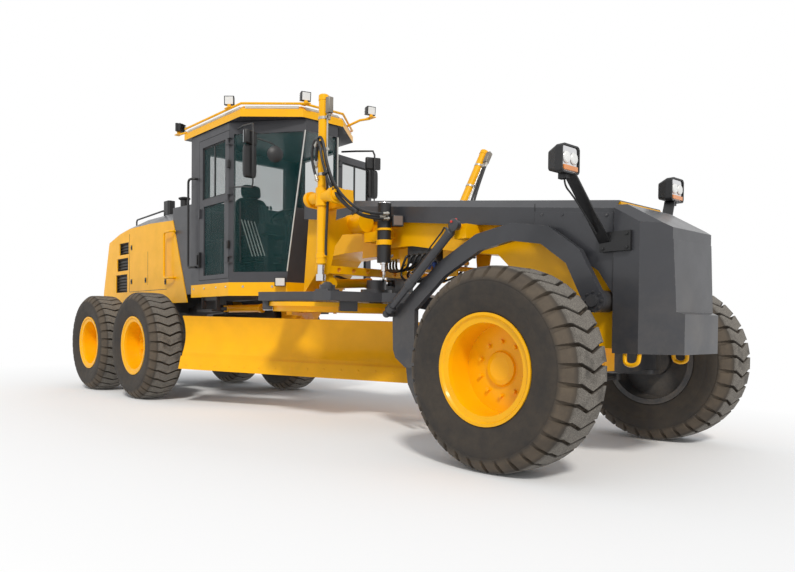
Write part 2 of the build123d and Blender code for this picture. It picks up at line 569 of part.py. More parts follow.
STEP = (3580, 3930, CAB_W / 2 + 20, 1075)        # outermost step: x low, high, |y|, z of its tread's underside
with BuildPart() as steps_and_rails:
    for side in (1, -1):
        # step bracket bolted under the apron: two hangers and a tread
        y_low, y_high = sorted((side * (STEP[2] - 60), side * (STEP[2] - 10)))
        for x in (STEP[0], STEP[1] - 14):
            box((x, x + 14), (y_low, y_high), (STEP[3], APRON_LOW - SEAT))
        box(STEP[:2], sorted((side * (STEP[2] - 70), side * (STEP[2] + 50))), (STEP[3], STEP[3] + 28))
        y_low, y_high = sorted((side * (STEP[2] - 60), side * (STEP[2] - 34)))
        box(STEP[:2], (y_low, y_high), (APRON_LOW - 40, APRON_LOW - SEAT))
        # grab rail on the cab's rear corner
        foot, reach = CAB_W / 2 + SEAT, CAB_W / 2 + 62
        tube_rail([(3440, side * foot, 2660), (3440, side * reach, 2660), (3330, side * reach, 2660),
                   (3330, side * reach, 1610), (3440, side * reach, 1610), (3440, side * foot, 1610)], 14, 40)
        # handrail beside the tank cover
        foot, reach = HOOD_W / 2 + SEAT, HOOD_W / 2 + 66
        tube_rail([(2494, side * foot, 2150), (2494, side * reach, 2150), (2290, side * reach, 2150),
                   (2290, side * reach, 1540), (2494, side * reach, 1540), (2494, side * foot, 1540)], 15, 42)
    # rail along the right edge of the hood's top
    tube_rail([(640, -345, hood_z(640, -333) + 2), (640, -345, 2530), (1620, -345, 2560),
               (1620, -345, hood_z(1620, -333) + SEAT)], 12, 40)
keep("steps_and_rails", steps_and_rails.part)

MIRROR_AT = (4600, CAB_W / 2 + 70, 2720)
MIRROR_FOOT = (4640, 480)             # where its arm meets the roof's underside, (x, |y|)
with BuildPart() as mirrors:
    for side in (1, -1):
        x, y, z = MIRROR_AT[0], side * MIRROR_AT[1], MIRROR_AT[2]
        with BuildSketch(Plane(origin=(x, y, z), x_dir=(0, 1, 0), z_dir=(1, 0, 0))):
            RectangleRounded(190, 380, 50)
        extrude(amount=30, both=True)
        knee = (MIRROR_FOOT[0], side * MIRROR_FOOT[1], 3110)
        bar((x, y, z + 100), (x + 10, y, z + 350), 12)
        bar((x + 10, y, z + 340), knee, 12)
        bar((*knee[:2], knee[2] - 15), (*knee[:2], ROOF_Z - SEAT), 16)
keep("mirrors", mirrors.part)

# ---------------------------------------------------------------- front frame
TOP_X, TOP_Z, TOP_FALL = SADDLE_X + 300, 2080, 0.131       # the front frame's cover: a height, and its fall forward
NECK_LOW, NECK_TOP = 885, 1214                   # the articulation boss between the fork plates
COVER_REAR, COVER_FRONT = 5010, BLOCK_REAR - 8
COVER_SIDE, COVER_BEVEL = 200, 60
SHOULDER_X = 4870                                # rear face of the beam, ahead of the cab at full lock
AXLE_PIN_Z = 690
SCAR_PIN_R = 40


def cover_z(x):
    """Height of the cover's top."""
    return TOP_Z - TOP_FALL * (x - TOP_X)


def beam_z(x):
    """Height of the beam's top, under the cover."""
    return cover_z(x) - COVER_T - SEAT


with BuildPart() as front_frame:
    # neck from the articulation boss up to the beam
    bar((ARTIC_X, 0, NECK_LOW), (ARTIC_X, 0, NECK_TOP), 110)
    side_plate([(ARTIC_X, NECK_LOW), (4600, NECK_LOW), (4650, 1010), (5250, 1625), (5250, 1700), (4900, 1500),
                (SHOULDER_X, 1262), (4780, NECK_TOP), (ARTIC_X, NECK_TOP)], -NECK_W / 2, NECK_W / 2)
    side_plate([(SHOULDER_X, 1262), (5250, 1625), (5400, 1640), (5400, beam_z(5400)),
                (COVER_REAR, beam_z(COVER_REAR)), (4965, 2180)], -250, 250)
    bar((ARTIC_X, 0, NECK_LOW - 5), (ARTIC_X, 0, NECK_TOP + 5), ARTIC_R + 1, mode=Mode.SUBTRACT)
    # box beam and the nose down to the front axle
    side_plate([(5300, 1630), (5600, 1650), (FRONT_X - 1619, 1650), (FRONT_X - 1089, 1560),
                (FRONT_X - 649, 1500), (FRONT_X - 29, 930), (FRONT_X + 51, 790), (BLOCK_REAR - SEAT, 790),
                (BLOCK_REAR - SEAT, beam_z(BLOCK_REAR)), (5300, beam_z(5300))],
               -BEAM_W / 2, BEAM_W / 2)
    for side in (1, -1):
        # lugs of the articulation cylinders
        y_low, y_high = sorted((side * 60, side * ARTIC_FRONT[1]))
        box((ARTIC_FRONT[0] - 45, ARTIC_FRONT[0] + 15), (y_low, y_high),
            (ARTIC_FRONT[2] - LUG_T / 2, ARTIC_FRONT[2] + LUG_T / 2))
        bar((ARTIC_FRONT[0], side * ARTIC_FRONT[1], ARTIC_FRONT[2] - LUG_T / 2),
            (ARTIC_FRONT[0], side * ARTIC_FRONT[1], ARTIC_FRONT[2] + LUG_T / 2), 45)
        bar((ARTIC_FRONT[0], side * ARTIC_FRONT[1], ARTIC_FRONT[2] - 55),
            (ARTIC_FRONT[0], side * ARTIC_FRONT[1], ARTIC_FRONT[2] + 55), EYE_PIN_R)
        # scarifier pivot pin
        bar((SCAR_X, side * 200, SCAR_Z), (SCAR_X, side * (SCAR_Y + 50), SCAR_Z), SCAR_PIN_R)
        bar((SCAR_X, side * 200, SCAR_Z), (SCAR_X, side * (SCAR_Y - 30), SCAR_Z), 75)
    # lugs and pin of the front axle
    for lug_x in (FRONT_X - 128, FRONT_X + 98):
        box((lug_x, lug_x + 30), (-110, 110), (AXLE_PIN_Z - 80, 1090))
    bar((FRONT_X - 132, 0, AXLE_PIN_Z), (FRONT_X + 132, 0, AXLE_PIN_Z), 45)
    # ball stud of the drawbar
    bar((FRONT_X - 20, 0, BALL_Z), (BALL_X, 0, BALL_Z), 42)
    with Locations((BALL_X, 0, BALL_Z)):
        Sphere(60)
    # anchor of the scarifier cylinder
    box((SCAR_TOP[0] - 60, SCAR_TOP[0] + 60), (-SCAR_CYL_Y + 55, -250), (SCAR_TOP[1] - 100, SCAR_TOP[1] + 15))
    bar((SCAR_TOP[0], -SCAR_CYL_Y - 45, SCAR_TOP[1]), (SCAR_TOP[0], -SCAR_CYL_Y + 60, SCAR_TOP[1]), EYE_PIN_R)
keep("front_frame", front_frame.part)


def cover_section(x, inset):
    """The cover's cross-section: sides, bevels and top, drawn in by the inset."""
    top = cover_z(x) - inset
    half = COVER_W / 2 - inset
    flat = COVER_W / 2 - COVER_BEVEL - inset * 0.5
    low = cover_z(x) - COVER_SIDE - (20 if inset else 0)
    return [(-half, low), (-half, top - COVER_BEVEL), (-flat, top), (flat, top), (half, top - COVER_BEVEL),
            (half, low)]


with BuildPart() as frame_cover:
    for inset, mode in ((0, Mode.ADD), (COVER_T, Mode.SUBTRACT)):
        overrun = 5 if inset else 0
        with BuildPart(mode=Mode.PRIVATE) as shell:
            for x in (COVER_REAR - overrun, COVER_FRONT + overrun):
                with BuildSketch(Plane.YZ.offset(x)):
                    outline(cover_section(x, inset))
            loft()
        add(shell.part, mode=mode)
keep("frame_cover", frame_cover.part)

BLOCK_TOP = (cover_z(BLOCK_REAR), 1575)          # its top along the middle, at the rear and at the front
with BuildPart() as push_block:
    side_plate([(BLOCK_REAR, BLOCK_BOTTOM), (BLOCK_FRONT + 45, BLOCK_BOTTOM), (BLOCK_FRONT + 45, 1020),
                (BLOCK_FRONT, 1035), (BLOCK_FRONT - 25, BLOCK_TOP[1]), (BLOCK_REAR, BLOCK_TOP[0])],
               -BLOCK_W / 2, BLOCK_W / 2)
    # bevels along both edges of its sloping top
    with BuildPart(mode=Mode.PRIVATE) as bevelled:
        for x, top in ((BLOCK_REAR, BLOCK_TOP[0]), (BLOCK_FRONT - 25, BLOCK_TOP[1])):
            with BuildSketch(Plane.YZ.offset(x)):
                outline([(-BLOCK_W / 2, BLOCK_BOTTOM), (-BLOCK_W / 2, top - COVER_BEVEL),
                         (COVER_BEVEL - BLOCK_W / 2, top), (BLOCK_W / 2 - COVER_BEVEL, top),
                         (BLOCK_W / 2, top - COVER_BEVEL), (BLOCK_W / 2, BLOCK_BOTTOM)])
        loft()
        box((BLOCK_FRONT - 25, BLOCK_FRONT + 45), (-BLOCK_W / 2, BLOCK_W / 2), (BLOCK_BOTTOM, 1500))
    add(bevelled.part, mode=Mode.INTERSECT)
    with BuildSketch(Plane.XY.offset(BLOCK_BOTTOM - 5)):
        outline(mirrored([(BLOCK_REAR, BLOCK_W / 2), (BLOCK_REAR + 180, BLOCK_W / 2),
                          (BLOCK_FRONT + 45, 250)]))
    extrude(amount=1000, mode=Mode.INTERSECT)
keep("push_block", push_block.part)

LAMP_AT = (BLOCK_REAR - 140, 750, 2010)           # middle of each lamp housing, (x, |y|, z)
LAMP_FOOT = (BLOCK_REAR - 50, BLOCK_W / 2 + 26, 1505)         # lower end of its flat post, beside the block
with BuildPart() as headlamps:
    for side in (1, -1):
        foot = Vector(LAMP_FOOT[0], side * LAMP_FOOT[1], LAMP_FOOT[2])
        head = Vector(LAMP_AT[0] + 10, side * (LAMP_AT[1] - 40), LAMP_AT[2] - 70)
        rise = (head - foot).normalized()
        across = Vector(1, 0, 0) - rise * rise.X
        # foot plate on the block's side, flat post, and the housing with its hood over the lens
        y_low, y_high = sorted((side * (BLOCK_W / 2 + SEAT), side * (BLOCK_W / 2 + 26)))
        box((BLOCK_REAR - 90, BLOCK_REAR + 130), (y_low, y_high), (1440, 1570))
        with BuildSketch(Plane(origin=tuple(foot), x_dir=tuple(across.normalized()), z_dir=tuple(rise))):
            Rectangle(80, 12)
        extrude(amount=(head - foot).length)
        x, y, z = LAMP_AT[0], side * LAMP_AT[1], LAMP_AT[2]
        with BuildSketch(Plane(origin=(x - 70, y, z), x_dir=(0, 1, 0), z_dir=(1, 0, 0))):
            RectangleRounded(150, 130, 20)
        with BuildSketch(Plane(origin=(x, y, z), x_dir=(0, 1, 0), z_dir=(1, 0, 0))):
            RectangleRounded(205, 185, 30)
        loft()
        with BuildSketch(Plane(origin=(x, y, z), x_dir=(0, 1, 0), z_dir=(1, 0, 0))):
            RectangleRounded(205, 185, 30)
        extrude(amount=50)
        with BuildSketch(Plane(origin=(x + 38, y, z), x_dir=(0, 1, 0), z_dir=(1, 0, 0))):
            RectangleRounded(183, 163, 22)
        extrude(amount=20, mode=Mode.SUBTRACT)
        box((x - 30, x + 30), (y - 22, y + 22), (z - 118, z - 70))
keep("headlamps", headlamps.part)

# ---------------------------------------------------------------- saddle, crank arms and link bar
CRANK_BOSS = (BEAM_W / 2 + 170, 1890)              # (|y|, z)
LINK_END = (800, 1445)
CRANK_X = (SADDLE_X - 160, SADDLE_X - 75)                # the crank arms and link bar stand behind the cylinders
LINK_X = (SADDLE_X - 145, SADDLE_X - 85)
SHIFT_X = SADDLE_X - 230                        # centre-shift cylinder, behind the link bar
SHIFT_PIN = (-670, 1320)              # (y, z) of its pin below the right crank arm
FORK_X = (150, 190)                   # trunnion fork plates, either side of the saddle's middle
TRUNNION_R = 35
with BuildPart() as lift_arms:
    box((SADDLE_X - 100, SADDLE_X + 100), (-BEAM_W / 2 - 50, BEAM_W / 2 + 50), (1575, 1955))
    box((SADDLE_X - 120, SADDLE_X + 120), (-BEAM_W / 2 - SEAT, BEAM_W / 2 + SEAT), (1650 - SEAT, 2300),
        mode=Mode.SUBTRACT)
    for side in (1, -1):
        boss = (side * CRANK_BOSS[0], CRANK_BOSS[1])
        pivot = (side * TRUNNION_Y, TRUNNION_Z)
        low = (side * LINK_END[0], LINK_END[1])
        bar((CRANK_X[0] + 10, *boss), (SADDLE_X + 85, *boss), 92)
        box((SADDLE_X - 60, SADDLE_X + 60), sorted((side * (BEAM_W / 2 + 10), side * CRANK_BOSS[0])),
            (CRANK_BOSS[1] - 90, CRANK_BOSS[1] + 20))
        # curved arm from the pivot boss down to the link bar, and the upright to the trunnion fork
        chain([(boss, 85), ((side * 640, 1840), 70), ((side * 745, 1690), 62), (low, 55)],
              *CRANK_X)
        chain([((side * 735, 2010), 60), ((side * 755, 1750), 58), (low, 55)], *CRANK_X)
        # fork that carries the cylinder's trunnion pins
        box((SADDLE_X - FORK_X[1], SADDLE_X + FORK_X[1]), sorted((side * 700, side * 775)),
            (TRUNNION_Z - 80, TRUNNION_Z + 60))
        for near, far in ((-FORK_X[1], -FORK_X[0]), FORK_X):
            chain([((side * 760, TRUNNION_Z - 15), 65), (pivot, 70)], SADDLE_X + near, SADDLE_X + far)
        for start in (-1, 1):
            bar((SADDLE_X + start * FORK_X[0], *pivot), (SADDLE_X + start * 85, *pivot), TRUNNION_R)
    # link bar with its row of lock holes
    box(LINK_X, (-LINK_END[0], LINK_END[0]), (1408, 1482))
    for hole in range(8):
        with Locations(Location(((LINK_X[0] + LINK_X[1]) / 2, -630 + hole * 180, 1445), (0, 90, 0))):
            Cylinder(23, 70, mode=Mode.SUBTRACT)
    # lug of the centre-shift cylinder under the right crank arm
    chain([((-LINK_END[0], LINK_END[1]), 50), (SHIFT_PIN, 42)], SHIFT_X + 62, SHIFT_X + 115)
    bar((SHIFT_X - 55, *SHIFT_PIN), (SHIFT_X + 70, *SHIFT_PIN), EYE_PIN_R)
    # lock canister beside the beam
    bar((SADDLE_X + 330, -CRANK_BOSS[0], 1500), (SADDLE_X + 330, -CRANK_BOSS[0], 2030), 62)
    box((SADDLE_X + 80, SADDLE_X + 330), (-CRANK_BOSS[0] - 20, -BEAM_W / 2 - 50), (1700, 1790))
keep("lift_arms", lift_arms.part)

# ---------------------------------------------------------------- front axle and steering
ARM_BACK, ARM_IN = 220, 110           # tie rod's stud on the steering arm, from the kingpin
RAM_BACK, RAM_IN = 250, 60            # steering cylinder's ball on the right arm
BOSS_Z = (590, 730)                   # the axle's kingpin boss; the knuckle's ears stand above and below
EAR_T = 35
WEB_Y = (958, 988)                    # the knuckle's web between kingpin boss and hub
ROD_Z, RAM_Z = 518, 668               # heights of the tie rod and of the steering cylinder
RAM_ANCHOR = (FRONT_X - 190, 150)     # steering cylinder's pin on the axle, (x, y)
BALL_R = 34                           # ball caps of the smaller cylinders
with BuildPart() as front_axle:
    cross_plate([(-820, 600), (-300, 580), (-180, 600), (180, 600), (300, 580), (820, 600), (820, 722),
                 (250, 775), (-250, 775), (-820, 722)], FRONT_X - 75, FRONT_X + 75)
    for side in (1, -1):
        bar((FRONT_X, side * KINGPIN_Y, BOSS_Z[0]), (FRONT_X, side * KINGPIN_Y, BOSS_Z[1]), 62)
        box((FRONT_X - 60, FRONT_X + 60), sorted((side * 800, side * KINGPIN_Y)), (600, 720))
        bar((FRONT_X, side * KINGPIN_Y, 500), (FRONT_X, side * KINGPIN_Y, 800), KINGPIN_R + 1,
            mode=Mode.SUBTRACT)
    bar((FRONT_X - 95, 0, AXLE_PIN_Z), (FRONT_X + 95, 0, AXLE_PIN_Z), 46, mode=Mode.SUBTRACT)
    box((RAM_ANCHOR[0] - 38, FRONT_X - 70), (RAM_ANCHOR[1] - 35, RAM_ANCHOR[1] + 35), (RAM_Z - 60, RAM_Z - 28))
    bar((*RAM_ANCHOR, RAM_Z - 60), (*RAM_ANCHOR, RAM_Z + 40), EYE_PIN_R)
keep("front_axle", front_axle.part)


def knuckle(side):
    """Steering knuckle: two ears round the axle's boss, kingpin, spindle and steering arm."""
    pin_y = side * KINGPIN_Y
    stud = (FRONT_X - ARM_BACK, side * (KINGPIN_Y - ARM_IN))
    ball = (FRONT_X - RAM_BACK, side * (KINGPIN_Y - RAM_IN))
    with BuildPart() as piece:
        for ear_low in (BOSS_Z[0] - GAP - EAR_T, BOSS_Z[1] + GAP):
            bar((FRONT_X, pin_y, ear_low), (FRONT_X, pin_y, ear_low + EAR_T), 60)
            box((FRONT_X - 60, FRONT_X + 60), sorted((pin_y, side * WEB_Y[1])), (ear_low, ear_low + EAR_T))
        box((FRONT_X - 60, FRONT_X + 60), sorted((side * WEB_Y[0], side * WEB_Y[1])),
            (BOSS_Z[0] - GAP - EAR_T, BOSS_Z[1] + GAP + EAR_T))
        bar((FRONT_X, pin_y, BOSS_Z[0] - GAP - EAR_T), (FRONT_X, pin_y, BOSS_Z[1] + GAP + EAR_T), KINGPIN_R)
        bar((FRONT_X, side * (WEB_Y[0] + 10), TYRE_R), (FRONT_X, side * SPINDLE_END, TYRE_R), SPINDLE_R)
        # steering arm from the lower ear, with the studs of the tie rod and the steering cylinder
        low = BOSS_Z[0] - GAP - EAR_T
        with BuildSketch(Plane.XY.offset(low)) as arm:
            with Locations((FRONT_X, pin_y)):
                Circle(58)
            with Locations(stud):
                Circle(38)
            make_hull()
        extrude(arm.sketch, amount=EAR_T)
        bar((*stud, ROD_Z - 30), (*stud, low), EYE_PIN_R)
        if side > 0:
            bar((*stud, ROD_Z - 26), (*stud, ROD_Z + 26), BALL_R)
        else:
            with BuildSketch(Plane.XY.offset(low)) as finger:
                with Locations(stud):
                    Circle(38)
                with Locations(ball):
                    Circle(34)
                make_hull()
            extrude(finger.sketch, amount=EAR_T)
            bar((*ball, low), (*ball, RAM_Z), EYE_PIN_R)
            with Locations((*ball, RAM_Z)):
                Sphere(BALL_R)
    return piece.part


keep("right_knuckle", knuckle(-1))
keep("left_knuckle", knuckle(1))

STUD_X = FRONT_X - ARM_BACK
STUD_Y = KINGPIN_Y - ARM_IN
with BuildPart() as tie_rod:
    bar((STUD_X, 30 - STUD_Y, ROD_Z), (STUD_X, STUD_Y - BALL_R - 8, ROD_Z), 21)
    bar((STUD_X, STUD_Y - 200, ROD_Z), (STUD_X, STUD_Y - BALL_R - 8, ROD_Z), 27)
    bar((STUD_X, -STUD_Y, ROD_Z - 24), (STUD_X, -STUD_Y, ROD_Z + 24), 40)
    bar((STUD_X, -STUD_Y, ROD_Z - 40), (STUD_X, -STUD_Y, ROD_Z + 40), EYE_PIN_R + 1, mode=Mode.SUBTRACT)
keep("tie_rod", tie_rod.part)

# ---------------------------------------------------------------- drawbar, circle and blade
# The drawbar lies in a plane of its own, x forward to the ball, z up from the ball.
PITCH, YAW = radians(DRAWBAR_PITCH), radians(DRAWBAR_YAW)
DRAW = Plane(origin=(BALL_X, 0, BALL_Z),
             x_dir=(cos(PITCH) * cos(YAW), cos(PITCH) * sin(YAW), -sin(PITCH)),
             z_dir=(sin(PITCH) * cos(YAW), sin(PITCH) * sin(YAW), cos(PITCH)))
YOKE_Z = (160, 245)                   # the drawbar's yoke plate
LIFT_BALL = (-SADDLE_BACK, 680, 272)  # lift cylinders' balls, (x, |y|, z)
LIFT_BALL_R = 58
SHIFT_BALL = (-1994, 402, 377)        # ball of the centre-shift cylinder
RING_Z = (60, 150)
FLANGE_Z, FLANGE_W = 110, 40          # the ring's outer flange, which the shoes hold
RING_IN, TOOTH_IN, TEETH = CIRCLE_R - 100, CIRCLE_R - 134, 72
PINION_R = 70
PINION_IN = TOOTH_IN - PINION_R - 6    # circle drive pinion, from the circle's centre
CIRCLE_BACK = DRIVE_BACK + PINION_IN   # circle middle behind the ball
with BuildPart() as drawbar:
    # socket clamped round the ball, open to the front
    box((-150, 30), (-95, 95), (-85, 85))
    Sphere(61, mode=Mode.SUBTRACT)
    box((0, 60), (-64, 64), (-64, 64), mode=Mode.SUBTRACT)
    # one tapering beam back to the yoke plate over the circle
    with BuildSketch(Plane.YZ.offset(-120)):
        Rectangle(190, 130)
    with BuildSketch(Plane.YZ.offset(-1400)):
        with Locations((0, (YOKE_Z[0] + YOKE_Z[1]) / 2)):
            Rectangle(400, 110)
    loft()
    flat_plate(mirrored([(-1380, 195), (-1500, 300), (-1700, 755), (-1910, 755), (-1990, 640),
                         (-2800, 640)]), *YOKE_Z)
    flat_plate(mirrored([(-2080, 330), (-2690, 330)]), YOKE_Z[0] - 5, YOKE_Z[1] + 5, mode=Mode.SUBTRACT)
    # shoes that carry the ring: outside its rim and under it
    for angle in (40, 130, 230, 320):
        with BuildPart(mode=Mode.PRIVATE) as shoe:
            box((CIRCLE_R + 6, CIRCLE_R + 60), (-80, 80), (FLANGE_Z - 38, YOKE_Z[0] + 5))
            box((CIRCLE_R - 34, CIRCLE_R + 60), (-80, 80), (FLANGE_Z - 38, FLANGE_Z - SEAT))
            box((CIRCLE_R - 90, CIRCLE_R + 60), (-80, 80), (YOKE_Z[0] - 1, YOKE_Z[1] - 20))
        add(shoe.part.rotate(Axis.Z, angle).moved(Location((-CIRCLE_BACK, 0, 0))))
    # circle drive: cross plate, pinion inside the ring and its motor
    box((-CIRCLE_BACK + 330, -CIRCLE_BACK + PINION_IN + 160), (-340, 340), YOKE_Z)
    bar((-CIRCLE_BACK + PINION_IN, 0, RING_Z[0]), (-CIRCLE_BACK + PINION_IN, 0, YOKE_Z[0]), PINION_R)
    bar((-CIRCLE_BACK + PINION_IN, 0, YOKE_Z[1]), (-CIRCLE_BACK + PINION_IN, 0, YOKE_Z[1] + 40), 150)
    bar((-CIRCLE_BACK + PINION_IN, 0, YOKE_Z[1]), (-CIRCLE_BACK + PINION_IN, 0, YOKE_Z[1] + 130), 95)
    # caps of the lift cylinders' balls
    for side in (1, -1):
        x, y, z = LIFT_BALL[0], side * LIFT_BALL[1], LIFT_BALL[2]
        box((x - 75, x + 75), (y - 75, y + 75), (YOKE_Z[0], z - 10))
        bar((x, y, z - 20), (x, y, z + 28), 70)
        with Locations((x, y, z)):
            Sphere(LIFT_BALL_R)
    # bracket and ball of the centre-shift cylinder
    x, y, z = SHIFT_BALL
    box((x - 60, x + 60), (y + 30, y + 330), (YOKE_Z[1] - 5, z + 50))
    bar((x, y, z), (x, y + 60, z), 30)
    with Locations((x, y, z)):
        Sphere(BALL_R)
keep("drawbar", drawbar.part.moved(DRAW.location))

# The blade's frame: x square to the blade (forward face), y along it, z up from its cutting edge.
BLADE_FOOT = BLADE_H + 14
BLADE_AT = DRAW.location * Location((-CIRCLE_BACK, 0, -BLADE_FOOT), (0, 0, BLADE_ANGLE - DRAWBAR_YAW - 90))
TIP_PIN = (-455, 150)                 # blade tip pivot, (x, z)
TIP_PIN_R = 30
LEG_Y = (CIRCLE_R - 140, CIRCLE_R - 80)
with BuildPart() as circle:
    with BuildSketch(Plane.XY.offset(BLADE_FOOT + RING_Z[0])):
        Circle(CIRCLE_R - FLANGE_W)
        Circle(RING_IN, mode=Mode.SUBTRACT)
        with PolarLocations((RING_IN + TOOTH_IN) / 2 + 2, TEETH):
            Trapezoid(34, RING_IN - TOOTH_IN + 4, 78, rotation=90)
    extrude(amount=RING_Z[1] - RING_Z[0])
    with BuildSketch(Plane.XY.offset(BLADE_FOOT + FLANGE_Z)):
        Circle(CIRCLE_R)
        Circle(CIRCLE_R - FLANGE_W - 5, mode=Mode.SUBTRACT)
    extrude(amount=RING_Z[1] - FLANGE_Z)
    for side in (1, -1):
        y_low, y_high = sorted((side * LEG_Y[0], side * LEG_Y[1]))
        side_plate([(-205, BLADE_FOOT + 62), (-60, BLADE_FOOT + 62), (-60, 655), (-425, 648), (-535, 590),
                    (-535, 300), (-500, 200), (TIP_PIN[0], TIP_PIN[1] + 50), (TIP_PIN[0], TIP_PIN[1] - 50),
                    (-540, 130), (-620, 320), (-620, 600), (-540, BLADE_FOOT + 52),
                    (-205, BLADE_FOOT + 52)], y_low, y_high)
        bar((TIP_PIN[0], y_low, TIP_PIN[1]), (TIP_PIN[0], y_high, TIP_PIN[1]), 52)
        bar((TIP_PIN[0], y_low - 5, TIP_PIN[1]), (TIP_PIN[0], y_high + 5, TIP_PIN[1]), TIP_PIN_R + 1,
            mode=Mode.SUBTRACT)
    # tie between the legs behind the blade
    box((-645, -595), (-LEG_Y[1], LEG_Y[1]), (420, 560))
keep("circle", circle.part.moved(BLADE_AT))

BLADE_X = -BLADE_BEHIND
# the two guide rails on the blade's back: x low, high, z low, high
RAILS = [(BLADE_X - 85, BLADE_X - 28, 175, 235), (BLADE_X - 92, BLADE_X - 55, 468, 528)]
with BuildPart() as moldboard:
    with BuildSketch(Plane.XZ.offset(-(BLADE_L / 2 + BLADE_SHIFT))):
        with BuildLine():
            Polyline((BLADE_X + 56, 40), (BLADE_X + 10, 190))
            ThreePointArc((BLADE_X + 10, 190), (BLADE_X - 42, 370), (BLADE_X + 22, 612))
            Line((BLADE_X + 22, 612), (BLADE_X + 4, BLADE_H))
            ThreePointArc((BLADE_X + 4, BLADE_H), (BLADE_X - 66, 372), (BLADE_X - 14, 182))
            Polyline((BLADE_X - 14, 182), (BLADE_X + 30, 40), (BLADE_X + 56, 40))
        make_face()
    extrude(amount=BLADE_L)
    for x_low, x_high, z_low, z_high in RAILS:
        box((x_low, x_high), (-1500, 1500), (z_low, z_high))
keep("moldboard", moldboard.part.moved(BLADE_AT))

with BuildPart() as cutting_edge:
    # bevelled steel edge bolted to the foot of the moldboard's face
    side_plate([(BLADE_X + 75, 0), (BLADE_X + 90, 0), (BLADE_X + 88, 14), (BLADE_X + 45, 148),
                (BLADE_X + 26, 141)], BLADE_SHIFT - BLADE_L / 2, BLADE_SHIFT + BLADE_L / 2)
keep("cutting_edge", cutting_edge.part.moved(BLADE_AT))

with BuildPart() as tilt_frame:
    bar((TIP_PIN[0], -LEG_Y[0] + GAP, TIP_PIN[1]), (TIP_PIN[0], LEG_Y[0] - GAP, TIP_PIN[1]), 42)
    bar((TIP_PIN[0], -LEG_Y[1], TIP_PIN[1]), (TIP_PIN[0], LEG_Y[1], TIP_PIN[1]), TIP_PIN_R)
    bar((BLADE_X - 130, 160 - LEG_Y[0], 540), (BLADE_X - 130, LEG_Y[0] - 160, 540), 32)
    for side in (1, -1):
        for plate_y in (LEG_Y[0] - 180, LEG_Y[0] - 70):
            y_low, y_high = sorted((side * plate_y, side * (plate_y + 30)))
            side_plate([(BLADE_X - 86, 120), (BLADE_X - 86, 460), (BLADE_X - 93, 460), (BLADE_X - 93, 570),
                        (BLADE_X - 165, 570), (BLADE_X - 165, 300), (BLADE_X - 200, 180),
                        (BLADE_X - 200, 115)], y_low, y_high)
keep("tilt_frame", tilt_frame.part.moved(BLADE_AT))

# ---------------------------------------------------------------- scarifier
# the arm's line: how far behind the pivot, height, radius
ARM_LINE = [((SCAR_X - back, z), radius) for back, z, radius in
            ((0, SCAR_Z, 72), (160, 1420, 66), (390, 1590, 66), (670, 1640, 66), (990, 1590, 66),
             (1370, 1400, 66), (1730, 1110, 70))]
CARRIER = (SCAR_X - 1940, SCAR_X - 1670, 570, 1130)     # x low, high, z low, high
SHANKS, SHANK_PITCH = 11, 80
with BuildPart() as scarifier:
    for side in (1, -1):
        y_low, y_high = sorted((side * (SCAR_Y - SCAR_T / 2), side * (SCAR_Y + SCAR_T / 2)))
        for (start, start_r), (end, end_r) in zip(ARM_LINE, ARM_LINE[1:]):
            with BuildSketch(Plane.XZ.offset(-y_high)) as link:
                with Locations(start):
                    Circle(start_r)
                with Locations(end):
                    Circle(end_r)
                make_hull()
            extrude(link.sketch, amount=y_high - y_low)
        bar((SCAR_X, y_low, SCAR_Z), (SCAR_X, y_high, SCAR_Z), 78)
        bar((SCAR_X, y_low - 5, SCAR_Z), (SCAR_X, y_high + 5, SCAR_Z), SCAR_PIN_R + 1, mode=Mode.SUBTRACT)
        side_plate([(CARRIER[0] + 60, CARRIER[3]), (CARRIER[0], 1000), (CARRIER[0] + 10, 720),
                    (CARRIER[0] + 40, 650), (CARRIER[1] - 110, CARRIER[2]), (CARRIER[1], CARRIER[2]),
                    (CARRIER[1], CARRIER[3])], y_low, y_high)
    # forward-pointing tool bar
    for bar_low, bar_high in ((640, 690), (800, 850)):
        flat_plate([(CARRIER[0] + 50, 455), (CARRIER[0] + 190, 455), (CARRIER[0] + 520, 0),
                    (CARRIER[0] + 190, -455), (CARRIER[0] + 50, -455), (CARRIER[0] + 380, 0)],
                   bar_low, bar_high)
    for count in range(SHANKS):
        y = (count - (SHANKS - 1) / 2) * SHANK_PITCH
        x = CARRIER[0] + 120 + (1 - abs(y) / 455) * 330
        side_plate([(x - 35, 920), (x + 35, 920), (x + 35, 600), (x + 60, 450), (x + 140, 250), (x + 95, 262),
                    (x - 5, 420), (x - 35, 590)], y - 15, y + 15)
    bar((SCAR_FOOT[0], -SCAR_CYL_Y, SCAR_FOOT[1]), (SCAR_FOOT[0] + 10, -SCAR_Y, SCAR_FOOT[1]), 26)
    with Locations((SCAR_FOOT[0], -SCAR_CYL_Y, SCAR_FOOT[1])):
        Sphere(BALL_R)
keep("scarifier", scarifier.part)


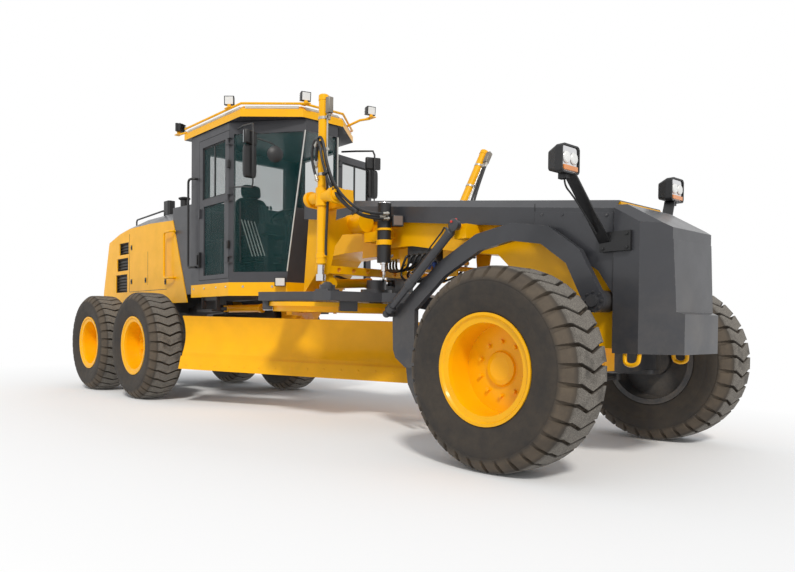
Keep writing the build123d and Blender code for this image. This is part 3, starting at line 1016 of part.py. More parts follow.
# ---------------------------------------------------------------- cylinders
def ram(name, anchor, pin, axis, barrel_r, rod_r, barrel_l, rod_l, travel, short, forked=False):
    """A hydraulic cylinder from its anchor pin to its rod's pin.

    The barrel turns about the anchor's axis. The rod ends short of its pin or ball, which belongs to
    the body it moves, so the open linkage can drift without touching."""
    span = (Vector(pin) - Vector(anchor)).length
    frame = Plane(origin=anchor, x_dir=Vector(pin) - Vector(anchor), z_dir=axis)
    end = span - short
    cheek_z = ((LUG_T / 2 + 5, LUG_T / 2 + 19), (-LUG_T / 2 - 19, -LUG_T / 2 - 5))
    with BuildPart() as barrel:
        bar((62, 0, 0), (barrel_l, 0, 0), barrel_r)
        bar((barrel_l - 45, 0, 0), (barrel_l, 0, 0), barrel_r + 7)
        if forked:
            box((56, 80), (-38, 38), (cheek_z[1][0], cheek_z[0][1]))
            for z_low, z_high in cheek_z:
                bar((0, 0, z_low), (0, 0, z_high), 38)
                box((0, 70), (-38, 38), (z_low, z_high))
        else:
            bar((0, 0, -24), (0, 0, 24), 38)
            box((0, 70), (-22, 22), (-22, 22))
        bar((0, 0, -80), (0, 0, 80), EYE_PIN_R + 1, mode=Mode.SUBTRACT)
        bar((end - rod_l - travel, 0, 0), (barrel_l + 1, 0, 0), rod_r + 1, mode=Mode.SUBTRACT)
    with BuildPart() as rod:
        bar((end - rod_l, 0, 0), (end, 0, 0), rod_r)
        if forked:
            box((end - 30, end), (-40, 40), (cheek_z[1][0], cheek_z[0][1]))
            for z_low, z_high in cheek_z:
                box((end - 20, span + 70), (-48, 48), (z_low, z_high))
            with BuildSketch(Plane.XY.offset(-100)) as slot:
                with Locations((span, 0)):
                    SlotOverall(136, 68)
            extrude(slot.sketch, amount=200, mode=Mode.SUBTRACT)
        else:
            bar((end - 55, 0, 0), (end, 0, 0), rod_r + 12)
    keep(f"{name}_barrel", barrel.part.moved(frame.location))
    keep(f"{name}_rod", rod.part.moved(frame.location))


for side, place in ((-1, "right"), (1, "left")):
    ram(f"{place}_articulation", (ARTIC_REAR[0], side * ARTIC_REAR[1], ARTIC_REAR[2]),
        (ARTIC_FRONT[0], side * ARTIC_FRONT[1], ARTIC_FRONT[2]), (0, 0, 1),
        barrel_r=44, rod_r=26, barrel_l=690, rod_l=620, travel=170, short=86, forked=True)
ram("steering", (*RAM_ANCHOR, RAM_Z), (FRONT_X - RAM_BACK, RAM_IN - KINGPIN_Y, RAM_Z), (0, 0, 1),
    barrel_r=34, rod_r=20, barrel_l=560, rod_l=650, travel=190, short=BALL_R + 12)
SHIFT_END = DRAW.from_local_coords(SHIFT_BALL)
ram("shift", (SHIFT_X, *SHIFT_PIN), tuple(SHIFT_END), (1, 0, 0),
    barrel_r=45, rod_r=28, barrel_l=555, rod_l=480, travel=20, short=BALL_R + 12)
ram("scarifier", (SCAR_TOP[0], -SCAR_CYL_Y, SCAR_TOP[1]), (SCAR_FOOT[0], -SCAR_CYL_Y, SCAR_FOOT[1]), (0, 1, 0),
    barrel_r=55, rod_r=30, barrel_l=700, rod_l=590, travel=20, short=BALL_R + 8)

LIFT_ABOVE, LIFT_BELOW = 915, 605     # the lift barrel above and below its trunnion
LIFT_ROD_R, LIFT_SHORT, LIFT_ROD = 30, LIFT_BALL_R + 14, 780
for side, place in ((-1, "right"), (1, "left")):
    trunnion = Vector(SADDLE_X, side * TRUNNION_Y, TRUNNION_Z)
    ball = DRAW.from_local_coords((LIFT_BALL[0], side * LIFT_BALL[1], LIFT_BALL[2]))
    span = (ball - trunnion).length
    below = LIFT_BELOW if side < 0 else span - 210
    # turned about the trunnion pins only, so the frame keeps the pins' axis
    frame = Plane(origin=tuple(trunnion), x_dir=tuple(Vector(0, ball.Y - trunnion.Y, ball.Z - trunnion.Z)),
                  z_dir=(1, 0, 0))
    with BuildPart() as barrel:
        bar((-LIFT_ABOVE, 0, 0), (below, 0, 0), 62)
        bar((below - 60, 0, 0), (below, 0, 0), 70)
        box((-80, 80), (-70, 70), (-143, 143))
        for start in (-1, 1):
            bar((0, 0, start * 80), (0, 0, start * 150), TRUNNION_R + 1, mode=Mode.SUBTRACT)
        bar((span - LIFT_SHORT - LIFT_ROD - 60, 0, 0), (below + 1, 0, 0), LIFT_ROD_R + 1, mode=Mode.SUBTRACT)
    with BuildPart() as rod:
        bar((span - LIFT_SHORT - LIFT_ROD, 0, 0), (span - LIFT_SHORT, 0, 0), LIFT_ROD_R)
        bar((span - LIFT_SHORT - 60, 0, 0), (span - LIFT_SHORT, 0, 0), LIFT_ROD_R + 14)
    keep(f"{place}_lift_barrel", barrel.part.moved(frame.location))
    keep(f"{place}_lift_rod", rod.part.moved(frame.location))

for name, part in PIECES.items():
    export_step(part.moved(Location((0, 0, -HITCH_H))), f"parts/{name}.step")
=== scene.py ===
"""Looks of the motor grader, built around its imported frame. Metres, in the frame's axes."""

import json
import math

import bmesh
import bpy
from mathutils import Matrix, Vector


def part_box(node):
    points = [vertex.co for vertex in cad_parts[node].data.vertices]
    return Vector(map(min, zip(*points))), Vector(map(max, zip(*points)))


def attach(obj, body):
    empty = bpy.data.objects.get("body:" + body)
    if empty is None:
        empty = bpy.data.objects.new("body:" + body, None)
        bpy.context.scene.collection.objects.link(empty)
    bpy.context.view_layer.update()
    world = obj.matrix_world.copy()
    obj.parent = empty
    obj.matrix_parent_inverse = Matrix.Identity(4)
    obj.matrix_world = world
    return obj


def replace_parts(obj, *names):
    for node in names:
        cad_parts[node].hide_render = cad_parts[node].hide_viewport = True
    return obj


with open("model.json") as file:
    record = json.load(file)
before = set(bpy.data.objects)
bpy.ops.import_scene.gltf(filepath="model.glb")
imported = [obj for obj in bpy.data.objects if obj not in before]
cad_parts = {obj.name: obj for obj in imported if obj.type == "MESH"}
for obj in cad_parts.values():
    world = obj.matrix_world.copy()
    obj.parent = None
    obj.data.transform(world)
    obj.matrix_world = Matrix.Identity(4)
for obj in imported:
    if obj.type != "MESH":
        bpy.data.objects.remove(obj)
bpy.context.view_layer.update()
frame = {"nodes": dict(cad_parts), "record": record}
NODES = frame["nodes"]

GROUND = -0.650                  # the floor: the frame's origin is the hitch bore, above it
X, Y, Z = Vector((1, 0, 0)), Vector((0, 1, 0)), Vector((0, 0, 1))


def at(x, y, height):
    """A point given by its height above the ground."""
    return Vector((x, y, height + GROUND))


# -------------------- materials
def ramp(tree, value, low, high):
    """A 0 to 1 mask that rises as value goes from low to high."""
    node = tree.nodes.new("ShaderNodeMapRange")
    node.inputs["From Min"].default_value = low
    node.inputs["From Max"].default_value = high
    tree.links.new(value, node.inputs["Value"])
    return node.outputs["Result"]


def noise(tree, where, scale, detail=3.0, rough=0.55, kind="ShaderNodeTexNoise"):
    """A noise or Voronoi value at that scale."""
    node = tree.nodes.new(kind)
    node.inputs["Scale"].default_value = scale
    if kind == "ShaderNodeTexNoise":
        node.inputs["Detail"].default_value = detail
        node.inputs["Roughness"].default_value = rough
    tree.links.new(where, node.inputs["Vector"])
    return node.outputs[0]


def sums(tree, kind, a, b):
    """One arithmetic node on two values, either of which may be a plain number."""
    node = tree.nodes.new("ShaderNodeMath")
    node.operation = kind
    node.use_clamp = kind in ("MULTIPLY", "ADD")
    for socket, value in zip(node.inputs, (a, b)):
        if isinstance(value, (int, float)):
            socket.default_value = value
        else:
            tree.links.new(value, socket)
    return node.outputs[0]


def blend(tree, mask, a, b):
    """Colour a where the mask is 0 and b where it is 1."""
    node = tree.nodes.new("ShaderNodeMix")
    node.data_type = "RGBA"
    tree.links.new(mask, node.inputs["Factor"])
    for socket, value in ((node.inputs[6], a), (node.inputs[7], b)):
        if isinstance(value, tuple):
            socket.default_value = (*value, 1.0)
        else:
            tree.links.new(value, socket)
    return node.outputs[2]


def shades(colour, factor):
    return tuple(c * factor for c in colour)


def setup(node, values):
    """Set a node's sockets by name."""
    for socket, value in values.items():
        node.inputs[socket].default_value = value


def new_material(name):
    """A material with its nodes, its shader and the object's coordinates."""
    mat = bpy.data.materials.new(name)
    mat.use_nodes = True
    tree = mat.node_tree
    coords = tree.nodes.new("ShaderNodeTexCoord").outputs["Object"]
    return mat, tree, tree.nodes["Principled BSDF"], coords


def roughen(tree, shader, height, strength, distance):
    """Bump from a height value."""
    bump = tree.nodes.new("ShaderNodeBump")
    setup(bump, {"Strength": strength, "Distance": distance})
    tree.links.new(height, bump.inputs["Height"])
    tree.links.new(bump.outputs[0], shader.inputs["Normal"])


def material(name, colour, rough=0.4, metal=0.0, mottle=(6.0, 0.12), grain=(500.0, 0.02), dust=0.0,
        dust_colour=(0.30, 0.24, 0.17), wear=0.0, wear_colour=(0.10, 0.09, 0.085), coat=0.0, gloss=0.5):
    """A painted, rubber or metal finish: mottled, dusty low down, worn at its edges, with a fine bump."""
    mat, tree, shader, coords = new_material(name)
    setup(shader, {"Metallic": metal, "Specular IOR Level": gloss, "Coat Weight": coat,
        "Coat Roughness": 0.12})
    cloud = noise(tree, coords, mottle[0], 4)
    surface = blend(tree, ramp(tree, cloud, 0.35, 0.7), colour, shades(colour, 1 - mottle[1]))
    roughness = ramp(tree, cloud, 0.0, 1.0)
    setup(roughness.node, {"To Min": rough * 0.8, "To Max": min(1.0, rough * 1.25)})
    if dust:
        split = tree.nodes.new("ShaderNodeSeparateXYZ")
        tree.links.new(coords, split.inputs[0])
        low = ramp(tree, split.outputs["Z"], 0.75, -0.65)
        patch = ramp(tree, noise(tree, coords, 3.3, 6, 0.7), 0.42, 0.72)
        mask = sums(tree, "MULTIPLY", sums(tree, "MULTIPLY", low, patch), dust)
        surface = blend(tree, mask, surface, dust_colour)
    if wear:
        bevel = tree.nodes.new("ShaderNodeBevel")
        bevel.samples = 4
        bevel.inputs["Radius"].default_value = 0.006
        geometry = tree.nodes.new("ShaderNodeNewGeometry")
        facing = tree.nodes.new("ShaderNodeVectorMath")
        facing.operation = "DOT_PRODUCT"
        tree.links.new(bevel.outputs[0], facing.inputs[0])
        tree.links.new(geometry.outputs["Normal"], facing.inputs[1])
        edge = ramp(tree, facing.outputs["Value"], 0.995, 0.90)
        chips = ramp(tree, noise(tree, coords, 38.0, 5, 0.7), 0.52, 0.62)
        surface = blend(tree, sums(tree, "MULTIPLY", sums(tree, "MULTIPLY", edge, chips), wear), surface,
            wear_colour)
    tree.links.new(surface, shader.inputs["Base Color"])
    tree.links.new(roughness, shader.inputs["Roughness"])
    roughen(tree, shader, noise(tree, coords, grain[0], 2), grain[1] * 10, 0.001)
    return mat


YELLOW = material("yellow_enamel", (0.97, 0.47, 0.0), 0.36, dust=0.16, wear=0.5, coat=0.12, gloss=0.25,
    dust_colour=(0.55, 0.30, 0.05), grain=(260, 0.012), mottle=(5.0, 0.09))
GREY = material("grey_enamel", (0.046, 0.047, 0.053), 0.36, dust=0.35, wear=0.5, coat=0.2, gloss=0.4,
    wear_colour=(0.25, 0.24, 0.23), grain=(260, 0.012))
CAB_GREY = material("cab_grey_enamel", (0.050, 0.050, 0.056), 0.4, dust=0.1, coat=0.12, gloss=0.4,
    grain=(300, 0.012))
DARK_GREY = material("chassis_grey", (0.038, 0.038, 0.041), 0.5, dust=0.45, wear=0.4)
BLACK = material("black_satin", (0.012, 0.012, 0.013), 0.42, dust=0.15, grain=(700, 0.03))
RUBBER_HOSE = material("hose_rubber", (0.013, 0.013, 0.014), 0.38, dust=0.1, grain=(900, 0.05))
VINYL = material("seat_vinyl", (0.020, 0.021, 0.022), 0.6, grain=(420, 0.12), mottle=(14, 0.2))
STEEL = material("worn_steel", (0.30, 0.27, 0.23), 0.42, metal=0.85, dust=0.5, mottle=(18, 0.35),
    grain=(160, 0.08))
ZINC = material("zinc_plate", (0.55, 0.53, 0.48), 0.3, metal=0.9, mottle=(30, 0.2))
CHROME = material("hard_chrome", (0.72, 0.72, 0.73), 0.12, metal=1.0, mottle=(9, 0.06), grain=(900, 0.01))
CAST = material("engine_iron", (0.055, 0.057, 0.060), 0.62, metal=0.2, mottle=(22, 0.3), grain=(180, 0.2))
WHITE = material("reflector_white", (0.80, 0.80, 0.78), 0.25, coat=0.3)
SEAL = material("pale_seal", (0.62, 0.62, 0.58), 0.55)
RED = material("signal_red", (0.62, 0.02, 0.012), 0.3, coat=0.4)
SMOKED = material("smoked_lens", (0.16, 0.105, 0.075), 0.2, coat=0.6)
AMBER = material("indicator_amber", (0.75, 0.26, 0.06), 0.2, coat=0.5)


def tyre_material():
    """Black rubber with stone dust on the lugs, tan dust in the grooves and a brown sidewall."""
    mat, tree, shader, coords = new_material("dusty_rubber")
    split = tree.nodes.new("ShaderNodeSeparateXYZ")
    tree.links.new(coords, split.inputs[0])
    radius = sums(tree, "SQRT", sums(tree, "ADD", sums(tree, "MULTIPLY", split.outputs["X"],
        split.outputs["X"]), sums(tree, "MULTIPLY", split.outputs["Z"], split.outputs["Z"])), 0.0)
    cloud = noise(tree, coords, 7.0, 6, 0.65)
    speckle = noise(tree, coords, 170.0, 3, 0.8)
    side = blend(tree, ramp(tree, cloud, 0.35, 0.68), (0.026, 0.022, 0.019), (0.050, 0.039, 0.028))
    dusty = blend(tree, ramp(tree, cloud, 0.3, 0.75), (0.090, 0.068, 0.047), (0.165, 0.125, 0.085))
    groove = sums(tree, "MULTIPLY", ramp(tree, radius, 0.560, 0.590), ramp(tree, radius, 0.652, 0.630))
    surface = blend(tree, sums(tree, "MULTIPLY", groove, 0.55), side, dusty)
    stones = blend(tree, ramp(tree, speckle, 0.42, 0.66), (0.088, 0.078, 0.066), (0.27, 0.245, 0.21))
    top = sums(tree, "MULTIPLY", ramp(tree, radius, 0.648, 0.656), ramp(tree, cloud, 0.25, 0.5))
    surface = blend(tree, top, surface, stones)
    tree.links.new(surface, shader.inputs["Base Color"])
    shader.inputs["Roughness"].default_value = 0.82
    height = sums(tree, "ADD", sums(tree, "MULTIPLY", speckle, 0.5), sums(tree, "MULTIPLY", cloud, 0.5))
    roughen(tree, shader, height, 0.5, 0.003)
    return mat


def glass_material(name, tint, clear):
    """Thin tinted glass: part clear, part a tinted gloss."""
    mat, tree, shader, coords = new_material(name)
    smear = ramp(tree, noise(tree, coords, 1.3, 2, 0.5), 0.3, 0.8)
    tree.links.new(blend(tree, smear, tint, shades(tint, 1.6)), shader.inputs["Base Color"])
    setup(shader, {"Roughness": 0.03, "Alpha": 1 - clear, "Specular IOR Level": 0.25})
    return mat


TYRE = tyre_material()
GLASS = glass_material("cab_glass_tint", (0.012, 0.055, 0.055), 0.76)
MIRROR = material("mirror_silver", (0.75, 0.78, 0.80), 0.04, metal=1.0, mottle=(4, 0.03),
    grain=(100, 0.001))

# one finish per CAD node; the rest are yellow
FINISHES = [
    (GREY, ["hood_top", "frame_cover", "drawbar", "push_block", "scarifier", "scarifier_rod",
            "scarifier_barrel"]),
    (CAB_GREY, ["cab_frame", "right_door", "left_door"]),
    (DARK_GREY, ["tandem_axle", "rear_frame", "front_axle", "right_knuckle", "left_knuckle", "tie_rod",
                 "steering_barrel"]),
    (BLACK, ["headlamps", "hood_grilles", "exhaust_stacks", "mirrors", "console", "steps_and_rails"]),
    (GLASS, ["cab_glass", "right_door_glass", "left_door_glass"]),
    (CAST, ["engine_block"]),
    (VINYL, ["seat"]),
    (CHROME, [name for name in NODES if name.endswith("_rod") and name not in ("tie_rod", "scarifier_rod")]),
    (TYRE, [name for name in NODES if name.endswith("_tyre")]),
]
for node in NODES.values():
    node.data.materials.clear()
    node.data.materials.append(YELLOW)
for finish, names in FINISHES:
    for name in names:
        NODES[name].data.materials[0] = finish


def repaint(node, finish, inside):
    """Give one node a second finish on the faces whose middle passes a test."""
    mesh = NODES[node].data
    mesh.materials.append(finish)
    slot = len(mesh.materials) - 1
    for face in mesh.polygons:
        if inside(face.center):
            face.material_index = slot


def hub_of(place):
    """The middle of a wheel."""
    low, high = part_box(f"{place}_tyre")
    return (low + high) / 2


# the rims are dark inboard of their discs
PLACES = ["front_right", "front_left", "mid_right", "mid_left", "rear_right", "rear_left"]
for place in PLACES:
    hub = hub_of(place)
    repaint(f"{place}_rim", DARK_GREY, lambda c, hub=hub: abs(c.y) < abs(hub.y) - 0.020
        and (math.hypot(c.x - hub.x, c.z - hub.z) < 0.333 or abs(c.y) < abs(hub.y) - 0.170))
# lock canister, the hood's hand rail, the roof's underside and the scarifier's pivot bosses
repaint("lift_arms", BLACK, lambda c: math.hypot(c.x - 6.36, c.y + 0.45) < 0.066 and c.z > 0.845)
repaint("steps_and_rails", YELLOW, lambda c: 2.2 < c.x < 2.6)
repaint("cab_roof", CAB_GREY, lambda c: c.z < 3.176 - 0.650)
repaint("front_frame", DARK_GREY, lambda c: math.hypot(c.x - 8.43, c.z - 0.46) < 0.11 and abs(c.y) > 0.285)


# -------------------- mesh building
def add(obj):
    """Put an object in the scene."""
    bpy.context.scene.collection.objects.link(obj)
    return obj


def turns(count):
    """The angles of equal steps round a circle."""
    return [2 * math.pi * i / count for i in range(count)]


def route(points, side=1):
    """Points given by their height above the ground, mirrored for side -1."""
    return [at(x, side * y, z) for x, y, z in points]


def square_to(direction):
    """Two unit vectors square to a direction and to each other."""
    direction = Vector(direction).normalized()
    side = direction.cross(Z if abs(direction.z) < 0.9 else X).normalized()
    return side, direction.cross(side)


class Piece:
    """A mesh under construction, in the frame's axes."""

    def __init__(self):
        self.bm = bmesh.new()

    def grid(self, rings, close_rings=True, close_ends=False, caps=False):
        """Quads between rings of points; each ring is a list of points of the same length."""
        loops = [[self.bm.verts.new(p) for p in ring] for ring in rings]
        pairs = list(zip(loops, loops[1:])) + ([(loops[-1], loops[0])] if close_ends else [])
        count = len(loops[0])
        for a, b in pairs:
            for i in range(count if close_rings else count - 1):
                j = (i + 1) % count
                self.bm.faces.new((a[i], a[j], b[j], b[i]))
        if caps:
            self.bm.faces.new(list(reversed(loops[0])))
            self.bm.faces.new(loops[-1])
        return self

    def box(self, low, high):
        low, high = Vector(low), Vector(high)
        ring = [(0, 0), (1, 0), (1, 1), (0, 1)]
        size = high - low
        return self.grid([[low + Vector((size.x * i, size.y * j, size.z * k)) for i, j in ring]
            for k in (0, 1)], caps=True)

    def slab(self, middle, size, forward=X, up=Z):
        """A box about its middle, turned so that its x runs along forward."""
        forward = Vector(forward).normalized()
        across = Vector(up).cross(forward).normalized()
        up = forward.cross(across)
        ring = [(-1, -1), (1, -1), (1, 1), (-1, 1)]
        return self.grid([[Vector(middle) + forward * (i * size[0] / 2) + across * (j * size[1] / 2)
            + up * (k * size[2] / 2) for i, j in ring] for k in (-1, 1)], caps=True)

    def turned(self, start, direction, profile, steps=20):
        """A turned form: profile is a list of (distance along, radius)."""
        start, direction = Vector(start), Vector(direction).normalized()
        side, other = square_to(direction)
        rings = [[start + direction * along + (side * math.cos(a) + other * math.sin(a)) * max(radius,
            1e-4) for a in turns(steps)] for along, radius in profile]
        return self.grid(rings, caps=True)

    def rod(self, start, end, radius, steps=14):
        start, end = Vector(start), Vector(end)
        return self.turned(start, end - start, [(0, radius), ((end - start).length, radius)], steps)

    def bolt(self, where, direction, size=0.011, high=0.009):
        """A hexagon head on its washer."""
        where, direction = Vector(where), Vector(direction).normalized()
        self.turned(where, direction, [(0, size * 1.35), (0.003, size * 1.35)], 14)
        return self.turned(where, direction, [(0.003, size), (high - 0.002, size), (high, size * 0.82)], 6)

    def done(self, name, finish, body, bevel=0.0, smooth=35, origin=None):
        """Make the object, give it its finish and let it ride on a CAD body."""
        bmesh.ops.recalc_face_normals(self.bm, faces=self.bm.faces)
        mesh = bpy.data.meshes.new(name)
        if origin is not None:
            bmesh.ops.translate(self.bm, verts=self.bm.verts, vec=-Vector(origin))
        for edge in self.bm.edges:
            edge.smooth = len(edge.link_faces) == 2 and edge.calc_face_angle(0) < math.radians(smooth)
        for face in self.bm.faces:
            face.smooth = True
        self.bm.to_mesh(mesh)
        self.bm.free()
        obj = bpy.data.objects.new(name, mesh)
        if origin is not None:
            obj.location = origin
        add(obj)
        mesh.materials.append(finish)
        if bevel:
            rounding = obj.modifiers.new("rounding", "BEVEL")
            rounding.width = bevel
            rounding.segments = 2
            rounding.limit_method = "ANGLE"
        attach(obj, body)
        return obj


def tube(name, points, radius, finish, body, smooth=True):
    """A bent tube or hose through the points."""
    curve = bpy.data.curves.new(name, "CURVE")
    curve.dimensions = "3D"
    curve.bevel_depth = radius
    curve.bevel_resolution = 3
    curve.use_fill_caps = True
    curve.resolution_u = 8
    spline = curve.splines.new("NURBS" if smooth else "POLY")
    spline.points.add(len(points) - 1)
    for point, where in zip(spline.points, points):
        point.co = (*where, 1)
    if smooth:
        spline.order_u = 3
        spline.use_endpoint_u = True
    obj = add(bpy.data.objects.new(name, curve))
    curve.materials.append(finish)
    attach(obj, body)
    return obj


# -------------------- tyres
TYRE_R = 0.660
LUGS = 35
GROOVE, WALL = 0.026, 0.006      # width of a groove at the tread's face, and run of each of its walls
CHEVRON = (0.048, 0.118)         # how far the lugs' points run ahead, and where the slant ends
# outer face and groove floor from the middle to the shoulder: (distance from the middle plane, radius)
LUG_FACE = [(0, 0.660), (0.030, 0.660), (0.080, 0.6592), (0.118, 0.6575), (0.148, 0.6545), (0.158, 0.649),
            (0.190, 0.620), (0.208, 0.600), (0.2195, 0.580), (0.2215, 0.566)]
FLOOR_FACE = [(0, 0.628), (0.030, 0.628), (0.080, 0.627), (0.118, 0.6255), (0.148, 0.620), (0.158, 0.616),
              (0.184, 0.598), (0.201, 0.584), (0.215, 0.572), (0.2215, 0.566)]
SIDEWALL = [(0.2215, 0.566), (0.2195, 0.556), (0.2225, 0.550), (0.2225, 0.525), (0.2215, 0.480),
            (0.2185, 0.474), (0.2185, 0.468), (0.2130, 0.440), (0.2050, 0.412), (0.1960, 0.388),
            (0.1900, 0.372), (0.1860, 0.366), (0.1790, 0.363), (0.1790, 0.3355)]


def tyre_piece(name, hub, body, node):
    """A tyre with chevron lugs, in place of its plain CAD solid."""
    piece = Piece()
    pitch = 2 * math.pi / LUGS
    stations = [(-y, r, f[0], f[1]) for (y, r), f in zip(reversed(LUG_FACE), reversed(FLOOR_FACE))]
    stations += [(y, r, f[0], f[1]) for (y, r), f in zip(LUG_FACE[1:], FLOOR_FACE[1:])]
    columns = []
    for lug in range(LUGS):
        for across, on_face in ((-1, False), (-1, True), (1, True), (1, False)):
            ring = []
            for y, face_r, floor_y, floor_r in stations:
                point = CHEVRON[0] * max(0.0, 1 - abs(y) / CHEVRON[1])
                spread = 1 + 0.5 * max(0.0, (abs(y) - 0.15) / 0.07)
                groove = GROOVE * spread
                half = (pitch * TYRE_R - groove) / 2 + (0 if on_face else WALL)
                angle = pitch * lug + (across * half - point) / TYRE_R
                reach, radius = (abs(y), face_r) if on_face else (floor_y, floor_r)
                ring.append(Vector((radius * math.cos(angle), math.copysign(reach, y),
                    radius * math.sin(angle))))
            columns.append(ring)
    piece.grid(columns, close_rings=False, close_ends=True)
    for side in (1, -1):
        rings = []
        for y, radius in SIDEWALL:
            rings.append([Vector((radius * math.cos(a), side * y, radius * math.sin(a)))
                for a in turns(140)])
        piece.grid(rings)
    inner = [[Vector((0.3355 * math.cos(a), y, 0.3355 * math.sin(a))) for a in turns(140)]
        for y in (-0.179, 0.179)]
    piece.grid(inner)
    bmesh.ops.remove_doubles(piece.bm, verts=piece.bm.verts, dist=1e-5)
    bmesh.ops.translate(piece.bm, verts=piece.bm.verts, vec=hub)
    obj = piece.done(name, TYRE, body, smooth=32, origin=hub)
    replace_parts(obj, node)
    return obj


for place in PLACES:
    tyre_piece(f"{place}_treaded_tyre", hub_of(place), f"{place}_wheel", f"{place}_tyre")

# -------------------- shapes used by the details
SIDES = (("right", -1), ("left", 1))
LIFT_X = 6.03                    # the lift cylinders' trunnions
PIVOT_X = 8.43                   # the scarifier's pivots, ahead of the front axle


def slab_piece(name, finish, body, boxes, bevel=0.003):
    """Several plain plates of one finish, as one object: boxes are (low, high)."""
    piece = Piece()
    for low, high in boxes:
        piece.box(low, high)
    return piece.done(name, finish, body, bevel=bevel)


def plate(name, finish, body, corners, y_low, y_high, bevel=0.002):
    """A plate across y through the corners, (x, height)."""
    piece = Piece()
    piece.grid([[at(x, y, z) for x, z in corners] for y in (y_low, y_high)], caps=True)
    return piece.done(name, finish, body, bevel=bevel)


def cushion(name, middle, half, finish, body, lean=0.0, crown=0.32, steps=(28, 18), puff=0.0):
    """A crowned cushion with rounded edges: half is its half size, lean turns it about y."""
    piece = Piece()
    turn = Matrix.Rotation(math.radians(lean), 3, "Y")

    def power(value):
        return math.copysign(abs(value) ** crown, value)

    rings = []
    for i in range(steps[1] + 1):
        v = -math.pi / 2 + math.pi * i / steps[1]
        ring = []
        for j in range(steps[0]):
            u = 2 * math.pi * j / steps[0]
            x, y, z = (power(math.cos(v)) * power(math.cos(u)), power(math.cos(v)) * power(math.sin(u)),
                power(math.sin(v)))
            seam = 1 - puff * (abs(math.sin(6 * y)) < 0.12) * (abs(z) > 0.5)
            ring.append(Vector(middle) + turn @ Vector((half[0] * x, half[1] * y, half[2] * z * seam)))
        rings.append(ring)
    piece.grid(rings, caps=True)
    return piece.done(name, finish, body, smooth=70)


def work_lamp(piece_body, name, middle, aim, size=(0.11, 0.10, 0.075), lens=WHITE):
    """A square work lamp: ribbed housing with a bezel, and its lens."""
    middle, aim = Vector(middle), Vector(aim).normalized()
    housing = Piece().slab(middle - aim * 0.028, (size[2] * 0.7, size[0] * 0.92, size[1] * 0.92), aim)
    housing.slab(middle, (0.030, size[0], size[1]), aim)
    side, other = square_to(aim)
    for k in (-2, -1, 0, 1, 2):
        housing.slab(middle - aim * 0.066 + other * (k * size[1] * 0.17), (0.030, size[0] * 0.86, 0.005),
            aim)
    housing.done(f"{name}_housing", BLACK, piece_body, bevel=0.003)
    Piece().slab(middle + aim * 0.016, (0.006, size[0] * 0.82, size[1] * 0.82), aim).done(f"{name}_lens",
        lens, piece_body, bevel=0.002)


# -------------------- cab interior
CAB = "rear"                     # the body that the cab is on
FLOOR = 1.441                    # height of the cab floor
cushion("seat_cushion", at(3.665, 0, 1.83), (0.235, 0.25, 0.062), VINYL, CAB, lean=-3, puff=0.06)
cushion("seat_backrest", at(3.435, 0, 2.20), (0.060, 0.235, 0.335), VINYL, CAB, lean=-10, crown=0.42)
cushion("seat_headrest", at(3.385, 0, 2.615), (0.045, 0.135, 0.085), VINYL, CAB, lean=-8, crown=0.5)
for tag, side in SIDES:
    cushion(f"seat_armrest_{tag}", at(3.62, side * 0.29, 2.04), (0.15, 0.035, 0.028), VINYL, CAB, crown=0.5)
for piece_name in ("seat_cushion", "seat_backrest", "seat_headrest"):
    padding = bpy.data.objects[piece_name]
    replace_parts(padding, "seat")
pedestal = Piece().box(at(3.48, -0.18, FLOOR), at(3.72, 0.18, 1.58)).box(at(3.50, -0.15, 1.58),
    at(3.70, 0.15, 1.70))
pedestal.box(at(3.47, -0.20, 1.70), at(3.80, 0.20, 1.775))
for side in (-1, 1):
    pedestal.rod(at(3.53, side * 0.30, 1.75), at(3.53, side * 0.30, 2.03), 0.014)
pedestal.rod(at(3.53, -0.30, 1.75), at(3.53, 0.30, 1.75), 0.014)
seat_base = pedestal.done("seat_suspension", BLACK, CAB, bevel=0.006)
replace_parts(seat_base, "seat")

column = Piece()
column.box(at(4.25, -0.11, FLOOR), at(4.42, 0.11, 1.90))
column.rod(at(4.34, 0, 1.86), at(4.20, 0, 2.17), 0.055, 20)
hub_at, tilt = at(4.188, 0, 2.20), Vector((-0.42, 0, 0.907)).normalized()
column.turned(hub_at - tilt * 0.03, tilt, [(0, 0.045), (0.03, 0.05), (0.045, 0.03)], 24)
side, other = square_to(tilt)
for spoke in turns(3):
    angle = spoke + 0.5
    column.rod(hub_at, hub_at + (side * math.cos(angle) + other * math.sin(angle)) * 0.178, 0.010, 8)
steps = [hub_at + (side * math.cos(a) + other * math.sin(a)) * 0.18 for a in turns(40)]
rings = []
for centre in steps:
    out = (centre - hub_at).normalized()
    rings.append([centre + (out * math.cos(b) + tilt * math.sin(b)) * 0.015 for b in turns(8)])
column.grid(rings, close_ends=True)
console = column.done("steering_column", BLACK, CAB, bevel=0.004)
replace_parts(console, "console")
# two banks of levers beside the wheel, with their thin rods running down to the floor
levers, knobs, rods = Piece(), Piece(), Piece()
for side in (-1, 1):
    levers.box(at(4.20, side * 0.36 - 0.10, 1.95), at(4.42, side * 0.36 + 0.10, 2.06))
    levers.box(at(4.28, side * 0.34 - 0.04, FLOOR), at(4.36, side * 0.34 + 0.04, 1.95))
    for k in range(5):
        foot = at(4.30 + 0.004 * k, side * 0.36 + (k - 2) * 0.040, 2.06)
        tip = foot + Vector((-0.045, 0, 0.20))
        levers.rod(foot, tip, 0.005, 8)
        knobs.turned(tip - Vector((0, 0, 0.012)), (-0.2, 0, 1),
            [(0, 0.007), (0.010, 0.014), (0.034, 0.015), (0.044, 0.008)], 12)
for k in range(5):
    rods.rod(at(4.02 + 0.050 * k, -0.52 + 0.012 * k, 2.14 - 0.010 * k),
        at(4.26 + 0.045 * k, -0.52 + 0.012 * k, 1.70), 0.0055, 8)
